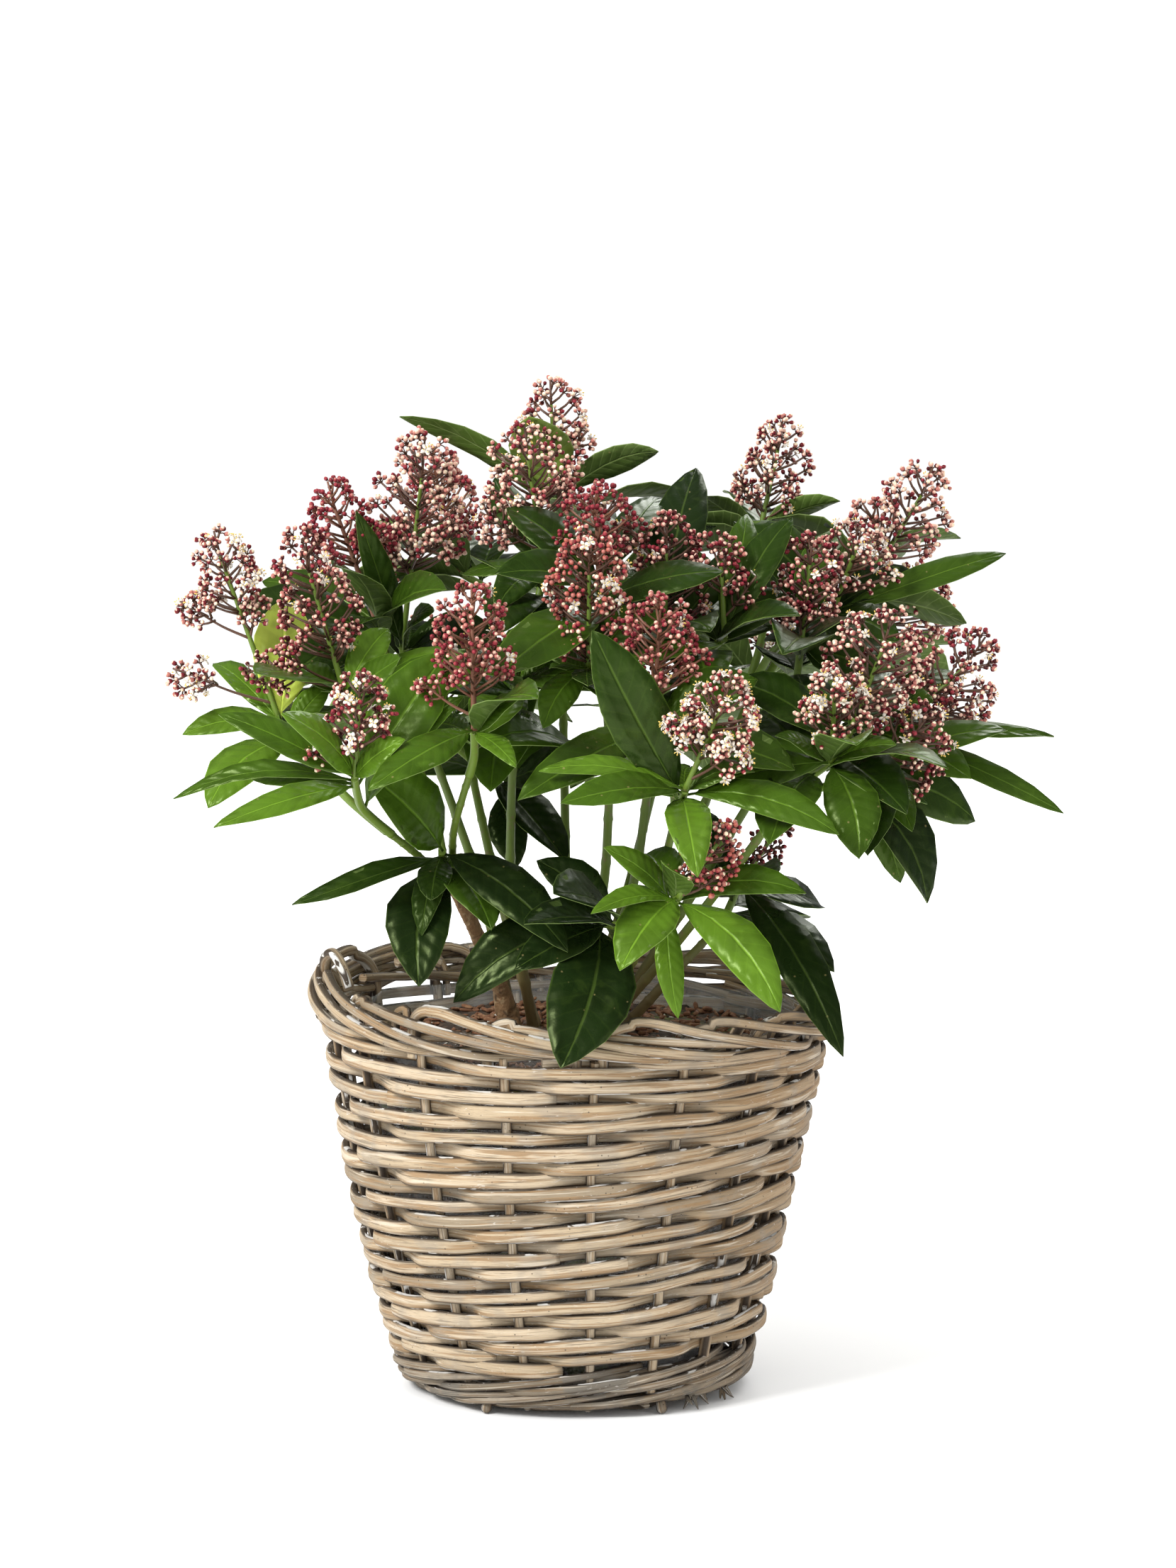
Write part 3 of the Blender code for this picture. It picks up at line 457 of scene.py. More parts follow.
def willow_paint(name, colour, grey, white, dark):
    """Peeled willow: grain and streaks drawn out along the rod, grey weathering in
    patches, dark specks, painted shade on each rod's lower side, at its edges and
    towards the right of the basket, and painted white glints in the creases beside
    the next rod, where the clear film would reflect. white is how much of those glints
    there is, and dark how much grey."""
    paint = Paint(name, colour, 0.72)
    tint = paint.nodes.new("ShaderNodeAttribute")
    tint.attribute_name = "tint"
    shade = tint.outputs["Fac"]
    streaks = paint.noise(1.0, 5, paint.uv((30, 4)), 0.6)
    fine = paint.noise(1.0, 4, paint.uv((110, 22)), 0.3)
    stretches = paint.noise(1.0, 3, paint.uv((13, 2)), 0.8)
    patches = paint.noise(34, 4, warp=0.8)
    brown = (0.62 * colour[0], 0.485 * colour[1], 0.34 * colour[2])
    pale = (1.22 * colour[0], 1.28 * colour[1], 1.42 * colour[2])
    paint.patch(pale, shade, 0.40, 1.0, 0.75)
    paint.patch(shade_of(colour, 0.52), shade, 0.42, 0.0, 0.8)
    # Painted shade: the rods turn browner and darker towards the right, the side away from the key lamp.
    paint.patch(brown, paint.part(paint.place, "X"), 0.01, 0.15, 0.6)
    paint.patch(brown, stretches, 0.47, 0.60, 0.85)
    paint.patch(shade_of(colour, 0.42), streaks, 0.55, 0.66, 0.8)
    paint.patch(grey, patches, 0.50, 0.66, dark)
    paint.patch(shade_of(colour, 0.25), fine, 0.60, 0.70, 0.75)
    specks = paint.ramp(paint.spots(260), 0.17, 0.08, 0, 0.8)
    where = paint.ramp(paint.noise(70, 2), 0.50, 0.60)
    paint.layer((0.035, 0.026, 0.018), paint.math("MULTIPLY", specks, where))
    across = paint.part(paint.uv((1, 1)), "Y")
    # Painted shade: the lower side of each rod is darker brown, as under the rod above.
    paint.patch(shade_of(brown, 0.40), across, -0.25, -0.95, 0.8)
    # Painted shade: each rod darkens to near black towards its upper and lower edges, in the crease
    # against the next rod.
    edge = paint.ramp(paint.math("ABSOLUTE", across), 0.62, 0.92)
    paint.layer((0.026, 0.016, 0.009), paint.math("MULTIPLY", edge, 0.88))
    # Painted reflection: crisp white glints along the rods' edges, standing for the clear film shining
    # between rods.
    glint_streaks = paint.ramp(paint.noise(1.0, 3, paint.uv((38, 1.2)), 1.0), 0.585, 0.615)
    creases = paint.math("MULTIPLY", edge, glint_streaks)
    paint.layer((0.64, 0.62, 0.58), paint.math("MULTIPLY", creases, white))
    bleached = paint.noise(1.0, 4, paint.uv((17, 1.6)), 0.9)
    paint.patch((0.66, 0.58, 0.46), bleached, 0.57, 0.68, 0.55)
    scratches = paint.noise(1.0, 3, paint.uv((160, 3)), 1.4)
    paint.patch((0.62, 0.58, 0.52), scratches, 0.67, 0.73, 0.6)
    paint.rough(fine, 0.5, 0.95)
    relief = paint.math("ADD", paint.math("MULTIPLY", fine, 0.5), streaks)
    paint.bump(relief, 0.8, 0.0009)
    return paint


willow = willow_paint("peeled_willow", (0.455, 0.352, 0.226), (0.28, 0.245, 0.195), 0.95, 0.45)
add_piece("woven_wall", [spiral_rods()], [willow], ["basket_wall"])
add_piece("stakes", [upright_stakes()], [willow])

# ROLLED BORDER
# Each stake's end is bent down to the right: it rounds over at the top, slants down
# outside the next two stakes, and is tucked in behind the third.
BORDER_RADIUS = 146.5
BORDER_LEVEL = 230
BORDER_THICK = 6.8
BORDER_TALL = 7.4
BORDER_POINTS = 110
SPACING = math.tau / STAKES
EXTRA_STRANDS = 13

# The way of a bent stake: the stakes it has passed, how far it is outside the border's
# radius, and its height
BORDER_STEPS = ((0.0, -3.5, 212), (0.02, -2.5, 227), (0.14, 0.5, 236), (0.40, 3.6, 239.0),
                (0.85, 6.8, 236.5), (1.45, 8.8, 231.5), (2.05, 8.4, 226), (2.6, 4.5, 221.5),
                (3.1, -2.5, 220), (3.7, -6.5, 223), (4.4, -7.5, 227))

# The loop that stands up at the left, the stubs, and the cut ends that show: each a
# path of turns in degrees, radii and heights, with its two radii
BORDER_ENDS = (
    (((183.0, 143, 222), (185.0, 148, 238), (188.0, 149, 250), (192.5, 146, 255), (197.0, 143, 249),
      (200.0, 141, 239)), 3.7, 3.2),
    (((186.0, 147, 214), (187.5, 150, 219), (189.5, 152, 221)), 3.6, 3.9),
    (((-53.0, 141, 214), (-51.5, 144, 228), (-49.5, 147, 240)), 2.8, 3.4),
    (((-38.0, 140, 220), (-34.0, 146, 233), (-28.0, 150, 245)), 3.4, 3.0),
    (((118.0, 140, 238), (112.0, 134, 240), (107.0, 130, 238)), 3.2, 3.4),
    (((141.0, 141, 234), (134.0, 133, 236), (130.0, 129, 233)), 3.2, 3.3),
)


def smooth_steps(steps, count):
    """Even samples of a smooth curve through a table of steps, by cubic Hermite pieces
    with the slope at each step taken from its two neighbours."""
    knots = np.array(steps, float)
    slopes = np.gradient(knots, axis=0)
    place = np.linspace(0, len(knots) - 1, count)
    low = np.minimum(place.astype(int), len(knots) - 2)
    t = (place - low)[:, None]
    start, end = knots[low], knots[low + 1]
    return (
        (2 * t ** 3 - 3 * t ** 2 + 1) * start + (t ** 3 - 2 * t ** 2 + t) * slopes[low]
        + (3 * t ** 2 - 2 * t ** 3) * end + (t ** 3 - t ** 2) * slopes[low + 1]
    )


def border_strands():
    """Seventeen like strands, one from each stake, and some thinner ones between them,
    each with its own slant, size and length."""
    luck = np.random.default_rng(11)
    count = STAKES + EXTRA_STRANDS
    curve = smooth_steps(BORDER_STEPS, BORDER_POINTS)
    own = (np.arange(count) < STAKES)[:, None]
    first = np.where(own[:, 0], np.arange(count), luck.uniform(0, STAKES, count))[:, None]
    turn = STAKE_TURN + SPACING * (first + curve[:, 0] + luck.normal(0, 0.10, (count, 1)))
    radius = BORDER_RADIUS + curve[:, 1] + luck.normal(0, 0.8, (count, 1)) - np.where(own, 0, 1.5)
    slant = np.where(own, luck.uniform(0.7, 1.35, (count, 1)), luck.uniform(-0.2, 1.2, (count, 1)))
    slants = curve[:, 0] > 0.3
    height = BORDER_LEVEL + (curve[:, 2] - BORDER_LEVEL) * np.where(slants, slant, 1)
    height = height + luck.normal(0, 1.3, (count, 1)) * slants
    high = luck.uniform(0, 1, (count, 1)) ** 3 * 4.0
    height = height + high * np.exp(-((curve[:, 0] - 0.4) / 0.5) ** 2)
    size = np.where(own, luck.uniform(0.84, 1.10, (count, 1)), luck.uniform(0.55, 0.8, (count, 1)))
    size = size * (1.05 - 0.28 * np.linspace(0, 1, BORDER_POINTS))
    tint = luck.uniform(0.0, 1.0, count)
    return rods(turn, radius, height, BORDER_THICK * size, BORDER_TALL * size, tint, 13, 0.95)


def border_ends():
    """The few odd ends of the border, each a short bent rod with cut faces."""
    batches = []
    for number, (steps, start, end) in enumerate(BORDER_ENDS):
        turn, radius, height = smooth_steps(steps, 26).T
        place = ring_place(np.radians(turn), radius, height)
        place[:, 2] += settle(place[:, 0], height)
        radii = np.linspace(start, end, 26) * (1 + 0.07 * noise(place, 12, 29 + number))
        batches.append(tubes(place[None], radii[None], 12, tint=np.array([0.3 + 0.1 * number])))
    return batches


add_piece("rolled_border", [border_strands()] + border_ends(), [willow], ["basket_border"])

# FOOT BAND
# Thinner, greyer rods twisted round the foot of the stakes in two tiers, each rod
# slanting up to the right over two stakes and in behind the next.
BAND_STRANDS = 17
BAND_THICK = 4.8
BAND_TALL = 4.9
FRAYED_RADII = (1.4, 1.4, 1.1, 0.9, 0.6, 0.3)
KNOB_TURNS = (-121.0, -60.0)
KNOB_RADII = (1.6, 2.8, 3.3, 3.3, 3.2, 3.1, 3.0)

# The way of a strand: the stakes it has passed, and how far it is outside its tier's
# radius and above its height. Then each tier's height and radius
BAND_STEPS = ((0.0, -9.0, -6.0), (0.35, -4.5, -5.6), (0.8, -0.4, -4.3), (1.4, 1.2, -1.7),
              (2.1, 1.4, 1.5), (2.8, 0.4, 4.6), (3.3, -4.0, 5.8), (3.8, -9.5, 6.2))
BAND_TIERS = ((9.0, 103.4), (18.6, 106.0))

# The level rods behind the slanting ones: where each starts, its height and its radius
BAND_ROUNDS = np.array([(0.3, 5.2, 95.0), (2.4, 13.5, 100.0), (4.4, 21.0, 101.0)])


def band_strands():
    """Each tier has its own height and radius, and each strand its own slant."""
    luck = np.random.default_rng(17)
    curve = smooth_steps(BAND_STEPS, 90)
    count = BAND_STRANDS * len(BAND_TIERS)
    first = np.arange(count)[:, None] * STAKES / BAND_STRANDS
    tier = np.repeat(np.array(BAND_TIERS), BAND_STRANDS, axis=0)
    turn = STAKE_TURN + SPACING * (first + curve[:, 0] + luck.normal(0, 0.16, (count, 1)))
    radius = tier[:, 1:] + curve[:, 1] + luck.normal(0, 0.8, (count, 1))
    slant = luck.uniform(0.8, 1.2, (count, 1))
    height = tier[:, :1] + curve[:, 2] * slant + luck.normal(0, 0.5, (count, 1))
    height = np.maximum(height, 3.2)
    radius = radius - 0.16 * np.maximum(9 - height, 0) ** 2
    size = luck.uniform(0.74, 1.10, (count, 1)) * (1.1 - 0.05 * curve[:, 0])
    tint = luck.uniform(0.0, 0.9, count)
    return rods(turn, radius, height, BAND_THICK * size, BAND_TALL * size, tint, 19, 0.95)


def band_rounds():
    """Three level rods under the slanting ones, which close the band behind them."""
    turn = np.linspace(0, math.tau, 240)[None, :] + BAND_ROUNDS[:, :1]
    height = BAND_ROUNDS[:, 1:2] + 0.9 * np.sin(5 * turn)
    radius = BAND_ROUNDS[:, 2:] + 0.8 * np.sin(STAKES * turn)
    size = np.ones_like(turn)
    return rods(turn, radius, height, 6 * size, 7 * size, np.array([0.2, 0.4, 0.1]), 23)


def frayed_ends():
    """Split ends of bark that hang from the band at the right."""
    luck = np.random.default_rng(53)
    turn = np.radians(np.concatenate([luck.uniform(-50, -42, 5), luck.uniform(-36, -30, 4)]))
    count = len(turn)
    out = ring_place(turn, 1.0, 0.0)
    start = out * 102 + np.array([0, 0, 8.0])
    heading = out * luck.uniform(0.3, 0.8, (count, 1)) + luck.normal(0, 0.35, (count, 3))
    heading = heading - np.array([0, 0, 0.9])
    share = np.linspace(0, 1, len(FRAYED_RADII))[None, :, None]
    paths = start[:, None] + unit(heading)[:, None] * share * luck.uniform(6, 10, (count, 1, 1))
    paths = paths + 0.9 * noise(paths, 5, 59)[..., None] * out[:, None] * share
    paths[..., 2] = np.maximum(paths[..., 2], 0.8)
    radii = np.broadcast_to(FRAYED_RADII, paths.shape[:2])
    return tubes(paths, radii, 5, tint=luck.uniform(0, 0.2, count))


def knobs():
    """Two rounded stake ends that show under the band's edge."""
    turn = np.radians(KNOB_TURNS)[:, None]
    height = np.linspace(0.8, 7.0, len(KNOB_RADII))
    paths = ring_place(turn, 102.5 - 0.4 * height, height)
    return tubes(paths, np.broadcast_to(KNOB_RADII, paths.shape[:2]), 12)


grey_willow = willow_paint("weathered_willow", (0.285, 0.230, 0.160), (0.150, 0.135, 0.110), 0.9, 0.8)
foot_batches = [band_strands(), band_rounds(), frayed_ends(), knobs()]
add_piece("twisted_foot", foot_batches, [grey_willow], ["foot_band"])

# WOVEN BASE
# A flat round base, woven in a spiral over and under seventeen sticks, whose outer
# ends are the feet of the stakes.
BASE_MIDDLE = 5.0
BASE_PITCH = 8.0
BASE_TURNS = 10.4
BASE_ROD_WIDE = 3.7
BASE_ROD_THICK = 2.2
STICK_RADIUS = 2.0


def base_spiral():
    """One flat rod in a spiral, its radius growing evenly with the turn, that rises
    and sinks by a cosine to pass over one stick and under the next."""
    turn = np.linspace(0, math.tau * BASE_TURNS, 1500)[None, :]
    radius = 7.0 + BASE_PITCH * turn / math.tau
    weave = 2.2 * np.cos(STAKES / 2 * turn) * np.clip(radius / 30, 0.2, 1)
    path = ring_place(turn, radius, BASE_MIDDLE + weave)
    around = even_turns(10)
    outward = ring_place(turn, 1.0, 0.0)[:, :, None]
    rings = path[:, :, None] + BASE_ROD_WIDE * np.cos(around)[:, None] * outward
    rings = rings + BASE_ROD_THICK * np.sin(around)[:, None] * np.array([0, 0, -1.0])
    along = (length_along(path) * MM)[..., None]
    return skins(rings, along, np.cos(around), tint=np.array([0.3]))


def base_sticks():
    """Straight level sticks, one towards each stake."""
    turn = (STAKE_TURN + SPACING * np.arange(STAKES))[:, None]
    radius = np.linspace(9, 97, 24)[None, :]
    paths = ring_place(turn, radius, BASE_MIDDLE)
    return tubes(paths, np.full(paths.shape[:2], STICK_RADIUS), 8, tint=np.full(STAKES, 0.2))


add_piece("woven_base", [base_spiral(), base_sticks()], [grey_willow], ["basket_floor"])

# CLEAR LINER
# A bag of thin clear film between the willow and the soil, with upright creases and an
# uneven top edge that stands a little above the soil.
LINER_WALL = 0.5
CREASES_FROM = 60.0

# The bottom as heights and radii, then the side's heights and radii at its ends
LINER_BOTTOM = ((10.5, 2.0), (10.5, 83.0))
LINER_HEIGHTS = (20.0, 229.0)
LINER_RADII = (89.5, 133.6)


def liner_film():
    """A profile of heights and radii turned round the axis, up outside and down again
    inside. The side's radius gives way by sine folds that deepen as the square of the
    height, and the top edge rises and falls."""
    turn = even_turns(220)
    heights = np.linspace(*LINER_HEIGHTS, 60)
    side = np.stack([heights, np.interp(heights, LINER_HEIGHTS, LINER_RADII)], axis=-1)
    profile = np.vstack([LINER_BOTTOM, side])
    profile = np.vstack([profile, profile[::-1] - (0, LINER_WALL)])
    inside = profile[len(profile) // 2:]
    inside[:, 0] += LINER_WALL * (inside[:, 0] < LINER_HEIGHTS[0])
    profile[:, 1] = np.maximum(profile[:, 1], 1.2)
    share = (profile[:, 0] - CREASES_FROM) / (LINER_HEIGHTS[1] - CREASES_FROM)
    share = np.clip(share, 0, 1)[:, None]
    folds = np.sin(23 * turn + 2 * np.sin(3 * turn)) + 0.6 * np.sin(41 * turn + 1.3)
    radius = profile[:, 1:] - share ** 2 * (2.1 + 1.3 * folds)
    height = profile[:, :1] + share ** 6 * (2.2 * np.sin(5 * turn + 1) + 1.4 * np.sin(13 * turn) - 4)
    return skins(ring_place(turn, radius, height)[None])


film = Paint("clear_film", (0.80, 0.83, 0.84), 0.12, Alpha=0.11, IOR=1.45, Specular_IOR_Level=0.7)
film.bump(film.noise(38, 5, warp=1.6), 0.5, 0.004)
film.rough(film.noise(60, 3), 0.06, 0.32)
add_piece("liner_film", [liner_film()], [film], ["liner"])

# POTTING SOIL
# Dark bark compost that fills the liner, with chips of bark, pale grit and a little moss
# on top.
SOIL_TOP = 210.0
SOIL_RADIUS = 128.0

# The bottom and the side of the soil, as heights and radii
SOIL_SIDE = [(11.9, 2.0), (11.9, 83.0), (20.0, 88.0), (120.0, 109.0), (206.0, 127.2)]

# A chip's stations along it, as shares of its length and of its full thickness
CHIP_SHARE = np.array([-0.5, -0.42, -0.1, 0.3, 0.46, 0.5])
CHIP_SHAPE = np.array([0.25, 0.8, 1.0, 0.9, 0.6, 0.2])


def soil_body():
    """A profile of heights and radii turned round the axis, from the bottom out, up
    and in again, with clods of three sizes of noise raised on its top."""
    turn = even_turns(150)
    inward = np.linspace(SOIL_RADIUS - 1.5, 2, 60)
    profile = np.array(SOIL_SIDE + [(SOIL_TOP - 1.6, r) for r in inward])
    rings = ring_place(turn, profile[:, 1:], profile[:, :1])
    on_top = (np.arange(len(profile)) >= len(SOIL_SIDE))[:, None]
    clods = 1.5 * noise(rings, 19, 31) + 0.9 * noise(rings, 7, 37) + 0.5 * noise(rings, 3.5, 41)
    rings[..., 2] += on_top * np.clip(clods, -1.6, 1.5)
    return skins(rings[None])


def scattered_chips(count, seed, size, low, high):
    """Little four-sided chips, tapered at both ends, lying any way on the soil."""
    luck = np.random.default_rng(seed)
    turn = luck.uniform(0, math.tau, count)
    reach = (SOIL_RADIUS - 6) * np.sqrt(luck.uniform(0, 1, count))
    middle = ring_place(turn, reach, luck.uniform(low, high, count))
    heading = unit(luck.normal(size=(count, 3)) * (1, 1, 0.25))
    length = size * luck.uniform(0.5, 1.6, (count, 1))
    paths = middle[:, None] + heading[:, None] * (CHIP_SHARE[:, None] * length[:, :, None])
    return tubes(paths, size * 0.2 * CHIP_SHAPE * luck.uniform(0.6, 1.3, (count, 1)), 4)


compost = Paint("compost", (0.055, 0.034, 0.021), 0.95)
compost.patch((0.15, 0.085, 0.045), compost.noise(240, 5), 0.50, 0.66, 0.8)
compost.patch((0.012, 0.008, 0.006), compost.noise(120, 4), 0.56, 0.68)
compost.patch((0.11, 0.13, 0.02), compost.noise(32, 5, warp=0.7), 0.58, 0.66, 0.8)
compost.bump(compost.noise(420, 6), 0.9, 0.0016)
bark_chip = Paint("bark_chip", (0.20, 0.085, 0.04), 0.85)
bark_chip.patch((0.36, 0.20, 0.10), bark_chip.noise(300, 4), 0.5, 0.65, 0.7)
bark_chip.bump(bark_chip.noise(700, 4), 0.6, 0.0006)
grit = Paint("pale_grit", (0.62, 0.58, 0.50), 0.8)
grit.patch((0.40, 0.36, 0.30), grit.noise(600, 3), 0.5, 0.6, 0.7)
add_piece("soil_body", [soil_body()], [compost], ["soil"])
add_piece("bark_chips", [scattered_chips(900, 43, 7.0, SOIL_TOP - 2, SOIL_TOP + 1.4)], [bark_chip])
add_piece("grit", [scattered_chips(160, 47, 2.6, SOIL_TOP - 1, SOIL_TOP + 1.2)], [grit])

# TRUNK, BOUGHS AND SHOOTS
# One woody trunk leans left and forks, and more boughs rise beside it from the soil. Each
# carries shoots: a bare green stem, a whorl of leaves and a stalk with its head of buds.
# Limbs bow aside where they would touch, and leaves are drawn back or left out.

# The gap left where one limb grows from another, and the room that others keep
GAP = 0.35
ROOM = 0.8

UPRIGHT = Vector((0, 0, 1))
TRUNK_FOOT_RADIUS = 8.5
TRUNK_RADIUS = 5.2
TRUNK_TIP_RADIUS = 3.4
FORK_RADIUS = 5.0
BOUGH_FOOT_RADIUS = 3.3
BOUGH_TIP_RADIUS = 2.3
FORKED_TIP_RADIUS = BOUGH_TIP_RADIUS - 0.2
STEM_RADIUS = 2.7
PEDUNCLE_RADIUS = 1.7
SPRAY_STEM_RADIUS = 1.1
SPRAY_RISE = 18.0
LEAF_THICK = 1.3
LEAF_STEM_WIDTH = 2.2
LEAF_ARCH = 0.10
LEAF_CLEARANCE = 0.6
LEAF_LENGTH = (76.0, 104.0)
LEAF_SLIMNESS = 0.41
LEAVES_PER_SHOOT = 6
YOUNG_LEAVES = 2
YOUNG_LENGTH = (32.0, 60.0)
STALK_SHARE = 0.2
FACE_LEAN = 1.0
BACK_HALF = 60.0
GOLDEN_ANGLE = math.radians(137.5)
LEAF_SPACING = 3.6
UPPER_LEAVES = 6
LOWER_LEAVES_DROP = 34.0
FOOT_CLEARANCE = 7.0
LOWEST_LEAF = 222.0

# Each try for a shown leaf: its share of its length, and how far its tip swings back
SWINGS = [(share, swing) for share in (1.0, 0.9, 0.8, 0.68) for swing in (0, -14, 14, -28, 28, -42, 42)]

TRUNK_PATH = ((-38, 0, 210), (-45, -8, 240), (-61, -35, 283), (-70, -52, 304), (-75, -60, 316))

# Each bough: where its foot is, the points it passes and its tip
BOUGHS = {
    "bough_left_low": ("trunk", ((-92, -82, 330), (-108, -96, 345))),
    "bough_left": ("trunk", ((-82, -48, 350), (-96, -36, 388))),
    "bough_front_left": ("trunk", ((-70, -92, 345), (-60, -122, 382))),
    "bough_inner_left": ((-25, 11), ((-38, -6, 300), (-36, -26, 392))),
    "bough_upper_left": ((-36, 18), ((-58, 16, 300), (-86, 14, 380))),
    "bough_middle": ((-8, -4), ((16, -30, 300), (20, -64, 395))),
    "bough_middle_right": ((2, 12), ((34, -6, 300), (46, -22, 398))),
    "bough_front": ((-2, -22), ((36, -66, 270), (56, -126, 352))),
    "bough_front_low": ((-14, -26), ((12, -60, 240), (34, -112, 284))),
    "bough_right_low": ((12, -10), ((60, -40, 272), (118, -88, 356))),
    "bough_low_right": ((25, -4), ((54, -12, 244), (80, -2, 270))),
    "bough_right": ((16, 4), ((66, -8, 290), (118, -22, 378))),
    "bough_right_back": ((10, 22), ((54, 40, 290), (104, 66, 402))),
    "bough_back": ((-6, 28), ((-6, 58, 300), (-8, 84, 412))),
    "bough_back_left": ((-24, 32), ((-48, 74, 290), (-66, 102, 366))),
    "bough_back_right": ((4, 38), ((30, 84, 280), (52, 116, 362))),
}

